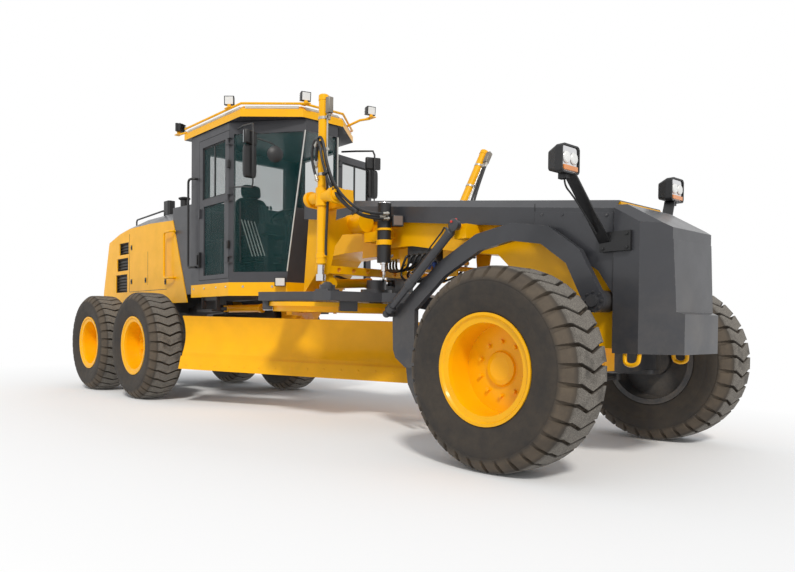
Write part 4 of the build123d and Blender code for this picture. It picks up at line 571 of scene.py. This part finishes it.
levers.done("lever_banks", BLACK, CAB, bevel=0.002)
knobs.done("lever_knobs", BLACK, CAB)
rods.done("control_rods", SEAL, CAB)
slab_piece("dash_panel", BLACK, CAB, [(at(4.44, -0.20, 1.75), at(4.50, 0.20, 2.12)),
    (at(3.36, -0.66, FLOOR), at(3.80, -0.40, 1.90)), (at(3.36, 0.40, FLOOR), at(3.80, 0.66, 1.90))],
    bevel=0.01)
slab_piece("armrest_console_lid", DARK_GREY, CAB, [(at(3.38, -0.65, 1.90), at(3.78, -0.41, 1.935))],
    bevel=0.006)
slab_piece("cab_lining", BLACK, CAB, [(at(3.36, -0.70, FLOOR), at(4.10, 0.70, 1.450)),
    (at(3.352, -0.55, 1.45), at(3.37, 0.55, 2.30))], bevel=0.0)

# -------------------- cab outside
for tag, side in SIDES:
    tube(f"{tag}_screen_seal", route([(4.703, 0.352, 1.52), (4.853, 0.228, 3.05)], side), 0.007, SEAL, CAB,
        smooth=False)
# roof: a thin yellow tube along its front edges, over a pale strip
ROOF_EDGE = [(3.14, -0.80), (4.44, -0.80), (4.88, -0.28), (4.88, 0.28), (4.44, 0.80), (3.14, 0.80)]
tube("roof_edge_tube", [at(x, y * 0.985, 3.318) for x, y in ROOF_EDGE], 0.013, YELLOW, CAB, smooth=False)
strip = Piece()
for (xa, ya), (xb, yb) in zip(ROOF_EDGE, ROOF_EDGE[1:]):
    a, b = Vector((xa, ya, 0)), Vector((xb, yb, 0))
    run = (b - a).normalized()
    out = Vector((run.y, -run.x, 0))
    mid = (a + b) / 2
    strip.slab(at(mid.x, mid.y, 3.277) - out * 0.028, ((b - a).length - 0.10, 0.030, 0.028), run,
        (out * 0.7 + Z * 0.7))
strip.done("roof_light_strip", SEAL, CAB, bevel=0.003)
# name, middle and aim of each work lamp on the roof
ROOF_LAMPS = [("rear_right", (2.985, -0.80, 3.36), (-0.85, -0.50, 0)),
              ("mid_right", (4.21, -0.80, 3.40), (0.75, -0.65, -0.1)),
              ("front_right", (4.88, -0.246, 3.40), (0.95, -0.3, -0.12)),
              ("front_left", (4.88, 0.70, 3.44), (0.95, -0.2, -0.12)),
              ("mid_left", (4.21, 0.80, 3.40), (0.75, 0.65, -0.1)),
              ("rear_left", (2.985, 0.80, 3.36), (-0.85, 0.5, 0))]
stalks = Piece()
for tag, where, aim in ROOF_LAMPS:
    where = at(*where)
    work_lamp(CAB, f"{tag}_roof_lamp", where, aim)
    stalks.rod(where - Vector((0, 0, 0.045)), where - Vector((0, 0, 0.075)), 0.022, 12)
    stalks.slab(where - Vector((0, 0, 0.080)), (0.11, 0.06, 0.012))
stalks.done("roof_lamp_feet", YELLOW, CAB, bevel=0.002)
tube("left_lamp_bracket", route([(4.62, 0.52, 3.27), (4.80, 0.60, 3.33), (4.86, 0.69, 3.35),
    (4.88, 0.70, 3.37)]), 0.014, YELLOW, CAB, smooth=False)
for tag, side in SIDES:
    tube(f"rear_{tag}_lamp_bracket", route([(3.16, 0.78, 3.27), (3.03, 0.80, 3.275), (2.985, 0.80, 3.285)],
        side), 0.013, YELLOW, CAB, smooth=False)
beacon = Piece().turned(at(4.60, 0.30, 3.30), Z, [(0, 0.05), (0.02, 0.05), (0.024, 0.042), (0.11, 0.040),
    (0.125, 0.028)], 24)
beacon.done("roof_beacon", AMBER, CAB)
# mirrors on bent arms, each a square upper glass over a tall one; the right arm carries a round one too
for tag, side in SIDES:
    arm = tube(f"{tag}_mirror_arm", route([(4.30, 0.74, 3.08), (4.50, 0.80, 3.06), (4.76, 0.845, 3.02),
        (4.785, 0.85, 2.97), (4.785, 0.85, 2.52)], side), 0.011, BLACK, CAB, smooth=False)
    brace = tube(f"{tag}_mirror_brace", route([(4.20, 0.785, 2.45), (4.56, 0.82, 2.40),
        (4.76, 0.845, 2.36), (4.785, 0.85, 2.40), (4.785, 0.85, 2.52)], side), 0.008, BLACK, CAB,
        smooth=False)
    shells = Piece()
    face = Vector((-0.93, side * 0.36, 0)).normalized()
    shells.slab(at(4.745, side * 0.86, 2.875), (0.045, 0.19, 0.145), face)
    glass = Piece().slab(at(4.745, side * 0.86, 2.875) + face * 0.0245, (0.004, 0.17, 0.125), face)
    glass.slab(at(4.735, side * 0.86, 2.63) + face * 0.0265, (0.004, 0.125, 0.29), face)
    upper = shells.done(f"{tag}_upper_mirror", BLACK, CAB, bevel=0.014)
    tall = cushion(f"{tag}_tall_mirror", at(4.735, side * 0.86, 2.63), (0.026, 0.075, 0.170), BLACK, CAB,
        crown=0.3)
    for obj in (arm, brace, upper, tall):
        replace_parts(obj, "mirrors")
    glass.done(f"{tag}_mirror_glass", MIRROR, CAB)
tube("round_mirror_arm", route([(4.79, -0.80, 2.865), (4.86, -0.68, 2.83), (4.90, -0.626, 2.79),
    (4.90, -0.626, 2.66)]), 0.008, BLACK, CAB, smooth=False)
round_mirror = Piece().turned(at(4.87, -0.64, 2.71), (1, -0.4, 0),
    [(0, 0.045), (0.006, 0.080), (0.028, 0.086), (0.045, 0.060), (0.052, 0.020)], 28)
round_mirror.done("round_mirror", BLACK, CAB)
# door furniture: latch box and handle, hinge blocks, wiper
slab_piece("right_door_latch", BLACK, "right_door_body",
    [(at(3.505, -0.815, 1.60), at(3.545, -0.779, 1.78)),
    (at(3.515, -0.835, 1.63), at(3.535, -0.815, 1.75))], bevel=0.005)
hinges = Piece()
for z in (1.82, 2.71):
    hinges.box(at(4.171, -0.812, z - 0.045), at(4.209, -0.781, z + 0.045))
hinges.done("right_door_hinge_covers", BLACK, CAB, bevel=0.006)
wiper = Piece().rod(at(4.30, -0.700, 1.62), at(4.30, -0.702, 2.20), 0.006, 8)
wiper.slab(at(4.30, -0.706, 2.05), (0.012, 0.008, 0.5), X)
wiper.done("right_facet_wiper", BLACK, CAB)
for tag, side in SIDES:
    work_lamp(CAB, f"{tag}_apron_lamp", at(4.705, side * 0.445, 1.40), (0.8, side * 0.6, -0.15),
        (0.12, 0.10, 0.075))
studs = Piece()
for side in (-1, 1):
    for x in (3.36, 3.62, 3.90, 4.12):
        studs.bolt(at(x, side * 0.7805, 1.352), (0, side, 0), 0.010, 0.008)
    for k in (0.25, 0.75):
        where = at(4.18 + 0.52 * k, side * (0.78 - 0.43 * k), 1.352)
        studs.bolt(where + Vector((0.0003, side * 0.0004, 0)), (0.637, side * 0.771, 0), 0.010, 0.008)
studs.done("apron_bolts", ZINC, CAB)


# -------------------- cylinders, drawn at their real thickness
JOINTS = {joint["name"]: joint for joint in frame["record"]["behaviour"]["joints"]}


def ring_of(piece, middle, axis, half, outer, inner, steps=28):
    """A flat ring about an axis, such as a cylinder's eye."""
    side, other = square_to(axis)
    axis = Vector(axis).normalized()
    profile = [(-half, inner), (-half, outer - 0.003), (-half + 0.003, outer), (half - 0.003, outer),
        (half, outer - 0.003), (half, inner)]
    piece.grid([[Vector(middle) + axis * along + (side * math.cos(a) + other * math.sin(a)) * radius
        for a in turns(steps)] for along, radius in profile], close_ends=True)


def lift_barrel(tag):
    """Barrel with its trunnion collar, gland and clamps, in place of the plain one."""
    body = f"{tag}_lift_barrel_body"
    anchor = Vector(JOINTS[f"{tag}_lift_pivot"]["pos_m"])
    way = Vector(JOINTS[f"{tag}_lift_stroke"]["axis"]).normalized()
    low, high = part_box(f"{tag}_lift_barrel")
    below = (anchor.z - low.z - 0.070 * math.sqrt(1 - way.z ** 2)) / abs(way.z)
    piece = Piece().turned(anchor, way, [(-0.914, 0.024), (-0.912, 0.036), (-0.905, 0.045),
        (-0.860, 0.047), (-0.856, 0.043), (below - 0.105, 0.043), (below - 0.102, 0.050),
        (below - 0.060, 0.052), (below - 0.056, 0.047), (below - 0.012, 0.047), (below, 0.036)], 32)
    piece.turned(anchor - way * 0.085, way, [(0, 0.050), (0.006, 0.060), (0.164, 0.060), (0.170, 0.050)],
        32)
    for side in (-1, 1):
        piece.turned(anchor + X * side * 0.040, X * side, [(0, 0.052), (0.098, 0.052), (0.103, 0.047)], 24)
    for along in (-0.875, below - 0.080):
        piece.turned(anchor + way * along + X * 0.040, X, [(0, 0.016), (0.018, 0.016), (0.020, 0.012),
            (0.034, 0.012)], 16)
    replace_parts(piece.done(f"{tag}_lift_cylinder", YELLOW, body, smooth=30), f"{tag}_lift_barrel")
    # steel tube down the barrel, held by three clamps
    out = X * 0.060
    tube(f"{tag}_lift_tube", [anchor + way * -0.875 + X * 0.074, anchor + way * -0.845 + out * 1.25,
        anchor + way * -0.80 + out, anchor + way * -0.16 + out], 0.008, ZINC, body, smooth=False)
    tube(f"{tag}_lift_hose", [anchor + way * -0.17 + out, anchor + way * -0.10 + X * 0.075,
        anchor + X * 0.085, anchor + way * 0.10 + X * 0.080, anchor + way * (below - 0.14) + X * 0.062,
        anchor + way * (below - 0.08) + X * 0.070], 0.012, RUBBER_HOSE, body)
    check = Piece().slab(anchor + way * -0.80 + X * 0.085, (0.14, 0.050, 0.050), way)
    check.turned(anchor + way * -0.73 + X * 0.085, way, [(0, 0.018), (0.020, 0.018), (0.024, 0.012),
        (0.060, 0.012)], 14)
    check.done(f"{tag}_check_valve", STEEL, body, bevel=0.004)
    clamps = Piece()
    for along in (-0.70, -0.42, -0.20):
        clamps.turned(anchor + way * (along - 0.012), way, [(0, 0.0465), (0.024, 0.0465)], 32)
        clamps.slab(anchor + way * along + X * 0.056, (0.022, 0.030, 0.034), way)
    clamps.done(f"{tag}_tube_clamps", ZINC, body, bevel=0.001)
    return anchor, way


lift_barrel("right")
LEFT_AT, LEFT_WAY = lift_barrel("left")


def ram_barrel(node, body, anchor, way, axis, length, radius, finish):
    """A plain cylinder with an eye, a gland and two ports."""
    anchor, way = Vector(anchor), Vector(way).normalized()
    piece = Piece().turned(anchor + way * 0.034, way,
        [(0, 0.022), (0.026, radius * 0.9), (0.034, radius + 0.003), (0.070, radius + 0.003),
        (0.074, radius), (length - 0.105, radius), (length - 0.101, radius + 0.008),
        (length - 0.040, radius + 0.008), (length - 0.034, radius * 0.85)], 28)
    ring_of(piece, anchor, axis, 0.024, 0.038, 0.0215)
    up = Vector(axis).cross(way).normalized()
    up = up if up.z > 0 else -up
    for along in (0.085, length - 0.085):
        piece.turned(anchor + way * along + up * radius * 0.9, up,
            [(0, 0.014), (0.016, 0.014), (0.018, 0.010), (0.030, 0.010)], 14)
    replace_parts(piece.done(f"{node}_cylinder", finish, body, smooth=30), node)
    return up


SCAR_ANCHOR = Vector(JOINTS["scarifier_ram_pivot"]["pos_m"])
SCAR_WAY = Vector(JOINTS["scarifier_ram_stroke"]["axis"])
up = ram_barrel("scarifier_barrel", "scarifier_barrel_body", SCAR_ANCHOR, SCAR_WAY, Y, 0.70, 0.036, GREY)
for shift in (-0.014, 0.014):
    tube(f"scarifier_cylinder_tube_{'a' if shift < 0 else 'b'}",
        [SCAR_ANCHOR + SCAR_WAY * (0.085 if shift < 0 else 0.60) + up * 0.066 + Y * shift, SCAR_ANCHOR
        + SCAR_WAY * (0.13 if shift < 0 else 0.55) + up * 0.058 + Y * shift, SCAR_ANCHOR + SCAR_WAY * 0.34
        + up * 0.056 + Y * shift], 0.007, BLACK, "scarifier_barrel_body", smooth=False)
caps = Piece()
caps.turned(at(7.28, -0.562, 1.73), -Y, [(0, 0.050), (0.010, 0.050), (0.014, 0.044), (0.022, 0.030),
    (0.024, 0.012)], 24)
caps.done("scarifier_pin_cap", GREY, "front")

# -------------------- front: guards, lamps, pins and hook
for tag, side in SIDES:
    y_low, y_high = sorted((side * 0.3505, side * 0.3565))
    plate(f"{tag}_front_guard", GREY, "front", [(7.884, 1.785), (8.510, 1.703), (8.513, 1.154),
        (8.400, 1.323), (8.112, 1.506), (7.884, 1.674)], y_low, y_high)
    plate(f"{tag}_side_marker", RED, "front", [(7.953, 1.622), (8.046, 1.613), (8.120, 1.491),
        (8.088, 1.501)], *sorted((side * 0.3568, side * 0.3625)), bevel=0.001)
    y = side * 0.750
    slab_piece(f"{tag}_headlamp_reflector", CHROME, "front",
        [(at(8.4185, y - 0.088, 1.930), at(8.4215, y + 0.088, 2.090))], bevel=0.001)
    bowls = Piece()
    for offset in (-0.042, 0.042):
        bowls.turned(at(8.4212, y + offset, 2.018), X, [(0, 0.036), (0.004, 0.040), (0.011, 0.034),
            (0.014, 0.016)], 28)
    bowls.done(f"{tag}_headlamp_bulbs", WHITE, "front")
    slab_piece(f"{tag}_headlamp_indicator", AMBER, "front",
        [(at(8.4212, y - 0.080, 1.936), at(8.433, y + 0.080, 1.968))], bevel=0.003)
    lamp_bolts = Piece()
    for x, z in ((8.455, 1.46), (8.455, 1.55), (8.625, 1.46), (8.625, 1.55)):
        lamp_bolts.bolt(at(x, side * 0.396, z), (0, side, 0), 0.010, 0.010)
    lamp_bolts.done(f"{tag}_lamp_foot_bolts", BLACK, "front")
    tube(f"{tag}_lamp_lead", route([(8.375, 0.735, 1.905), (8.36, 0.715, 1.86), (8.385, 0.66, 1.80),
        (8.405, 0.60, 1.73), (8.44, 0.45, 1.56)], side), 0.006, RUBBER_HOSE, "front")
pivot = Piece()
for side in (-1, 1):
    pivot.turned(at(PIVOT_X, side * 0.461, 1.11), (0, side, 0),
        [(0, 0.034), (0.010, 0.034), (0.014, 0.028)], 24)
pivot.done("scarifier_pivot_caps", RED, "front")
bolts = Piece()
for side in (-1, 1):
    for a in turns(8):
        head = at(PIVOT_X + 0.062 * math.cos(a), side * 0.4605, 1.11 + 0.062 * math.sin(a))
        bolts.bolt(head, (0, side, 0), 0.008, 0.008)
bolts.done("scarifier_pivot_bolts", DARK_GREY, "scarifier_body")
for tag, side in SIDES:
    tube(f"{tag}_tie_hook", route([(8.60, 0.345, 0.775), (8.60, 0.352, 0.715), (8.615, 0.356, 0.690),
        (8.655, 0.358, 0.682), (8.690, 0.356, 0.695), (8.700, 0.352, 0.720), (8.700, 0.345, 0.775)], side),
        0.014, YELLOW, "front")
# bolts along the guards
rows = Piece()
for side in (-1, 1):
    for k in range(4):
        x = 8.46 - 0.17 * k
        rows.bolt(at(x, side * 0.3565, 1.69 + 0.022 * k), (0, side, 0), 0.008, 0.007)
rows.done("front_guard_bolts", GREY, "front")
# the seam where the cover's front part begins
seams = Piece()
for side in (-1, 1):
    seams.slab(at(7.884, side * 0.3508, 1.76), (0.006, 0.0022, 0.165), X)
seams.done("cover_seams", BLACK, "front")

# -------------------- saddle: bolted cap, valves and hoses under the beam
ring = Piece()
for side in (-1, 1):
    for a in turns(10):
        head = at(LIFT_X + 0.075 * math.cos(a), side * 0.3780, 1.879 + 0.075 * math.sin(a))
        ring.bolt(head, (0, side, 0), 0.010, 0.010)
ring.done("saddle_cap_bolts", YELLOW, "front")
bank = Piece()
bank.box(at(6.46, -0.25, 1.500), at(6.80, 0.10, 1.655))
bank.box(at(6.50, -0.262, 1.520), at(6.76, -0.25, 1.600))
for k in range(4):
    bank.turned(at(6.53 + 0.065 * k, -0.258, 1.56), (0, -1, 0),
        [(0, 0.020), (0.016, 0.020), (0.019, 0.015), (0.036, 0.015)], 14)
bank.done("drawbar_valve_block", CAST, "front", bevel=0.004)
manifold = Piece()
manifold.box(at(5.98, -0.16, 1.560), at(6.26, 0.16, 1.655))
manifold.box(at(6.86, -0.22, 1.460), at(7.02, -0.06, 1.600))
manifold.done("beam_brackets", YELLOW, "front", bevel=0.006)
for k in range(4):
    x = 6.53 + 0.065 * k
    tube(f"valve_hose_{k + 1}", route([(x, -0.292, 1.56), (x, -0.330, 1.56), (x - 0.02, -0.345, 1.50),
        (x - 0.10, -0.30, 1.42 + 0.012 * k), (6.20, -0.24 + 0.05 * k, 1.44),
        (6.02, -0.10 + 0.04 * k, 1.50), (6.02, -0.08 + 0.04 * k, 1.58)]), 0.0115, RUBBER_HOSE, "front")


def hose(name, points, radius, body):
    """A hose with a crimped end fitting at each end."""
    tube(name, points, radius, RUBBER_HOSE, body)
    ends = Piece()
    for tip, after in ((points[0], points[1]), (points[-1], points[-2])):
        way = (Vector(after) - Vector(tip)).normalized()
        ends.turned(Vector(tip) - way * 0.012, way, [(0, radius * 0.8), (0.010, radius * 0.8),
            (0.012, radius * 1.45), (0.024, radius * 1.45), (0.026, radius * 1.15),
            (0.060, radius * 1.15)], 14)
    ends.done(f"{name}_fittings", ZINC, body)


# hoses of the right lift cylinder loop over it and run down to the beam, tied together
LOOP = [(6.03, -0.965, 2.22), (5.985, -0.985, 2.36), (5.985, -0.990, 2.50), (6.040, -0.992, 2.585),
        (6.105, -0.992, 2.52), (6.140, -0.992, 2.36), (6.195, -0.955, 2.150), (6.275, -0.86, 1.985),
        (6.365, -0.70, 1.880), (6.430, -0.515, 1.900)]
for k, shift in enumerate(((0, 0, 0), (0.030, 0.014, 0.024), (0.012, 0.036, -0.016))):
    hose(f"right_lift_loop_{k + 1}", [at(*where) + Vector(shift) for where in LOOP[(0, 2, 1)[k]:]], 0.0125,
        "front")
ties = Piece()
for where in route([(6.160, -0.975, 2.27), (6.325, -0.775, 1.93)]):
    ties.turned(where, (0.3, 0.35, -0.8), [(0, 0.036), (0.020, 0.036)], 16)
ties.done("hose_ties", BLACK, "front")
for k in range(2):
    side_step = X * (0.075 + 0.026 * k)
    hose(f"left_lift_loop_{k + 1}", [LEFT_AT + LEFT_WAY * -0.72 + side_step, LEFT_AT + LEFT_WAY * -0.50
        + side_step * 1.15, LEFT_AT + LEFT_WAY * -0.30 + side_step * 1.35, LEFT_AT + LEFT_WAY * -0.08
        + side_step * 1.7, *route([(6.24, 0.70, 2.02), (6.30, 0.47, 1.93), (6.33, 0.33, 1.90)])], 0.0125,
        "front")
for k in range(2):
    x = 5.745 + 0.03 * k
    hose(f"shift_hose_{k + 1}", route([(x + 0.017, -0.600, 1.385), (x, -0.520, 1.412), (x, -0.40, 1.375),
        (x, -0.26, 1.365), (x + 0.020, -0.165, 1.370)]), 0.010, "shift_barrel_body")
# lock canister: yellow bands, a chrome foot with its hose, and the square work light beside it
CANISTER = (6.36, -0.45)
can = Piece()
for low, high in ((1.655, 1.70), (1.785, 1.805)):
    can.turned(at(*CANISTER, low), Z, [(0, 0.064), (0, 0.072), (high - low, 0.072), (high - low, 0.064)],
        32)
can.slab(at(6.36, -0.39, 1.73), (0.05, 0.12, 0.012), X)
can.done("canister_bands", YELLOW, "front", bevel=0.001)
foot = Piece().turned(at(*CANISTER, 1.502), -Z, [(0, 0.034), (0.020, 0.034), (0.022, 0.022),
    (0.060, 0.022), (0.062, 0.028), (0.080, 0.028), (0.082, 0.014), (0.110, 0.014)], 20)
foot.turned(at(*CANISTER, 2.0305), Z, [(0, 0.058), (0.006, 0.056), (0.009, 0.030)], 28)
foot.done("canister_foot", CHROME, "front")
hose("canister_hose", route([(6.36, -0.45, 1.40), (6.355, -0.45, 1.345), (6.32, -0.42, 1.33),
    (6.285, -0.38, 1.40), (6.29, -0.36, 1.52), (6.33, -0.32, 1.575)]), 0.010, "front")
work_lamp("front", "canister_lamp", at(6.487, -0.405, 1.866), (0.85, -0.5, 0.05), size=(0.10, 0.10, 0.07),
    lens=SMOKED)
# bolted caps on the trunnion pins, and grease nipples with red caps
pins, nipples = Piece(), Piece()
for side in (-1, 1):
    for end in (-1, 1):
        where = at(LIFT_X + end * 0.1905, side * 0.905, 2.075)
        pins.turned(where, (end, 0, 0), [(0, 0.046), (0.010, 0.046), (0.013, 0.040)], 24)
        for k in range(4):
            a = math.pi / 4 + math.pi / 2 * k
            pins.bolt(where + Vector((end * 0.012, 0.028 * math.cos(a), 0.028 * math.sin(a))), (end, 0, 0),
                0.007, 0.008)
    nipples.turned(at(LIFT_X, side * 0.905, 2.1585), Z, [(0, 0.007), (0.010, 0.007), (0.014, 0.004)], 10)
for where in ((7.28, -0.535, 1.7690), (7.28, -0.590, 1.745), (8.43, -0.445, 1.190)):
    nipples.turned(at(*where), Z, [(0, 0.010), (0.012, 0.010), (0.017, 0.005)], 10)
pins.done("trunnion_pin_caps", YELLOW, "front", smooth=30)
nipples.done("grease_caps", RED, "front")

# -------------------- under the beam: stays, pipes and hoses to the drawbar
webs = Piece()
for side in (-1, 1):
    y = side * 0.20
    for x0, x1, low in ((6.30, 6.44, 1.40), (6.88, 7.06, 1.36)):
        webs.grid([[at(x, y + dy, z) for x, z in ((x0, 1.648), (x0 + 0.03, low), (x1 - 0.05, low),
            (x1, 1.60), (x1 - 0.01, 1.648))] for dy in (-0.009, 0.009)], caps=True)
webs.rod(at(6.37, -0.215, 1.46), at(6.37, 0.215, 1.46), 0.022, 16)
webs.rod(at(6.95, -0.215, 1.43), at(6.95, 0.215, 1.43), 0.022, 16)
webs.done("beam_stays", YELLOW, "front", bevel=0.003)
pipes = Piece()
for k in range(4):
    y = -0.115 + 0.045 * k
    pipes.rod(at(6.44, y, 1.615 - 0.004 * k), at(7.02, y, 1.545 - 0.004 * k), 0.011, 10)
pipes.done("beam_pipes", BLACK, "front")
for k in range(4):
    y = -0.19 + 0.11 * k
    hose(f"drawbar_hose_{k + 1}", route([(6.46, y, 1.545), (6.39, y - 0.01, 1.50),
        (6.32 - 0.03 * k, y - 0.02, 1.40), (6.42 - 0.02 * k, y - 0.03, 1.335), (6.60, y - 0.02, 1.345),
        (6.78, y, 1.42), (6.86, y * 0.8, 1.50)]), 0.0115, "front")
banjos = Piece()
for k, x in enumerate((6.53, 6.595, 6.66, 6.725)):
    banjos.turned(at(x, -0.175, 1.498), -Z, [(0, 0.022), (0.030, 0.022), (0.034, 0.016), (0.060, 0.016)],
        14)
banjos.done("valve_solenoids", material("solenoid_blue", (0.02, 0.07, 0.32), 0.35), "front")

# -------------------- hood: linings behind the grilles, seams and latches
lining = Piece()
for side in (-1, 1):
    lining.box(at(0.42, side * 0.560 - 0.004, 1.36), at(1.00, side * 0.560 + 0.004, 2.19))
lining.done("grille_linings", BLACK, "rear")
HOOD_SIDE = 0.6004               # the face of the yellow side panels
hood_seams, latches = Piece(), Piece()
for side in (-1, 1):
    y = side * HOOD_SIDE
    for x, low, high in ((0.985, 1.40, 2.26), (1.63, 1.48, 1.95)):
        hood_seams.box(at(x - 0.003, y - 0.0012, low), at(x + 0.003, y + 0.0012, high))
    hood_seams.box(at(0.985, y - 0.0012, 1.397), at(2.248, y + 0.0012, 1.403))
    for x, z in ((1.06, 1.55), (1.06, 2.05), (1.56, 1.55), (2.20, 1.50)):
        latches.box(at(x - 0.022, y - 0.006, z - 0.035), at(x + 0.022, y + 0.006, z + 0.035))
        latches.turned(at(x, y, z), (0, side, 0), [(0, 0.014), (0.012, 0.014), (0.014, 0.010)], 14)
hood_seams.done("hood_seams", BLACK, "rear")
latches.done("hood_latches", BLACK, "rear", bevel=0.002)

# -------------------- doors: sliding panes' frames
for tag in ("right", "left"):
    low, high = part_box(f"{tag}_door_glass")
    mesh = NODES[f"{tag}_door_glass"].data
    panes = [face for face in mesh.polygons if face.area > 0.05]
    upper = max(panes, key=lambda face: face.center.z)
    corners = [mesh.vertices[v].co.copy() for face in panes if abs(face.normal.dot(upper.normal)) > 0.99
        and face.center.z > 1.6 and (face.center - upper.center).length < 0.6 for v in face.vertices]
    run = Z.cross(upper.normal).normalized()
    spans = [c.dot(run) for c in corners]
    centre = sum(corners, Vector()) / len(corners)
    centre += run * ((min(spans) + max(spans)) / 2 - centre.dot(run))
    z_low, z_high = min(c.z for c in corners), max(c.z for c in corners)
    wide = max(spans) - min(spans)
    frame_bars = Piece()
    for offset, width in ((0.0, 0.022), (wide / 2 - 0.009, 0.016), (-wide / 2 + 0.009, 0.016)):
        frame_bars.slab(Vector((centre.x, centre.y, (z_low + z_high) / 2)) + run * offset,
            (width, 0.016, z_high - z_low), run)
    for z in (z_low + 0.008, z_high - 0.008):
        frame_bars.slab(Vector((centre.x, centre.y, z)), (wide, 0.016, 0.016), run)
    frame_bars.done(f"{tag}_sliding_pane_frame", BLACK, f"{tag}_door_body", bevel=0.002)

# -------------------- blade: bolts along the cutting edge
edge = NODES["cutting_edge"].data
face = max((f for f in edge.polygons if f.normal.x > 0.05 and abs(f.normal.z) < 0.75), key=lambda f: f.area)
normal = face.normal.copy()
along = Z.cross(normal).normalized()
spans = [v.co.dot(along) for v in edge.vertices]
middle = face.center + along * ((min(spans) + max(spans)) / 2 - face.center.dot(along))
width = max(spans) - min(spans)
edge_bolts = Piece()
EDGE_BOLTS = 22
for k in range(EDGE_BOLTS):
    reach = (k + 0.5) / EDGE_BOLTS * width - width / 2
    edge_bolts.turned(middle + along * reach, normal, [(-0.003, 0.015), (0.0015, 0.015), (0.0045, 0.011)],
        14)
edge_bolts.done("cutting_edge_bolts", YELLOW, "blade_body")

# -------------------- stage
floor = Piece()
floor.grid([[Vector((-40, -40, GROUND)), Vector((40, -40, GROUND))],
    [Vector((-40, 40, GROUND)), Vector((40, 40, GROUND))]], close_rings=False)
mesh = bpy.data.meshes.new("floor")
floor.bm.to_mesh(mesh)
ground = add(bpy.data.objects.new("floor", mesh))


def white_for_camera(tree, shader_output, target):
    """White where the camera, a gloss or clear glass looks; the given light everywhere else."""
    path = tree.nodes.new("ShaderNodeLightPath")
    seen = sums(tree, "MAXIMUM", path.outputs["Is Camera Ray"],
        sums(tree, "MAXIMUM", path.outputs["Is Glossy Ray"], path.outputs["Is Transmission Ray"]))
    mix = tree.nodes.new("ShaderNodeMixShader")
    tree.links.new(seen, mix.inputs[0])
    tree.links.new(shader_output, mix.inputs[1])
    tree.links.new(mix.outputs[0], target)
    return mix


paper = bpy.data.materials.new("pale_floor")
paper.use_nodes = True
shader = paper.node_tree.nodes["Principled BSDF"]
setup(shader, {"Base Color": (0.93, 0.93, 0.93, 1), "Roughness": 0.95, "Specular IOR Level": 0.0})
# away from the machine the floor turns into the white of the background, with no horizon line
tree = paper.node_tree
where = tree.nodes.new("ShaderNodeTexCoord").outputs["Object"]
span = tree.nodes.new("ShaderNodeVectorMath")
span.operation = "MULTIPLY_ADD"
span.inputs[1].default_value = (0.20, 0.42, 0)
span.inputs[2].default_value = (-0.86, 0, 0)
tree.links.new(where, span.inputs[0])
size = tree.nodes.new("ShaderNodeVectorMath")
size.operation = "LENGTH"
tree.links.new(span.outputs[0], size.inputs[0])
glow = tree.nodes.new("ShaderNodeEmission")
glow.inputs["Color"].default_value = (1, 1, 1, 1)
fade = tree.nodes.new("ShaderNodeMixShader")
glossy = tree.nodes.new("ShaderNodeLightPath").outputs["Is Glossy Ray"]
tree.links.new(sums(tree, "MAXIMUM", ramp(tree, size.outputs["Value"], 0.95, 1.9), glossy), fade.inputs[0])
tree.links.new(shader.outputs[0], fade.inputs[1])
tree.links.new(glow.outputs[0], fade.inputs[2])
mix = white_for_camera(tree, shader.outputs[0], tree.nodes["Material Output"].inputs["Surface"])
tree.links.new(fade.outputs[0], mix.inputs[2])
mesh.materials.append(paper)

world = bpy.data.worlds.new("studio")
bpy.context.scene.world = world
world.use_nodes = True
tree = world.node_tree
sky = tree.nodes["Background"]
setup(sky, {"Color": (0.93, 0.96, 1.0, 1), "Strength": 0.62})
white = tree.nodes.new("ShaderNodeBackground")
setup(white, {"Color": (1, 1, 1, 1), "Strength": 1.0})
mix = white_for_camera(tree, sky.outputs[0], tree.nodes["World Output"].inputs["Surface"])
tree.links.new(white.outputs[0], mix.inputs[2])

SUN_FROM = Vector((0.62, -0.50, 0.72))
sun = bpy.data.lights.new("key", "SUN")
sun.energy = 1.9
sun.angle = math.radians(9)
sun.color = (1.0, 0.97, 0.92)
lamp = add(bpy.data.objects.new("key", sun))
lamp.rotation_euler = SUN_FROM.to_track_quat("Z", "Y").to_euler()

# -------------------- camera
YAW, PITCH, ROLL = math.radians(50.07), math.radians(-1.14), math.radians(0.51)
forward = Vector((-math.sin(YAW) * math.cos(PITCH), math.cos(YAW) * math.cos(PITCH), math.sin(PITCH)))
right = forward.cross(Z).normalized()
up = right.cross(forward)
right, up = right * math.cos(ROLL) + up * math.sin(ROLL), up * math.cos(ROLL) - right * math.sin(ROLL)
camera = add(bpy.data.objects.new("camera", bpy.data.cameras.new("camera")))
camera.matrix_world = Matrix.Translation((10.907, -4.690, 0.279)) @ Matrix((right, up,
    -forward)).transposed().to_4x4()
camera.data.sensor_width = 36
camera.data.lens = 31.105
camera.data.shift_x = 0.0644
camera.data.shift_y = 0.0670
camera.data.clip_end = 200
bpy.context.scene.camera = camera
bpy.context.scene.view_settings.view_transform = "Standard"
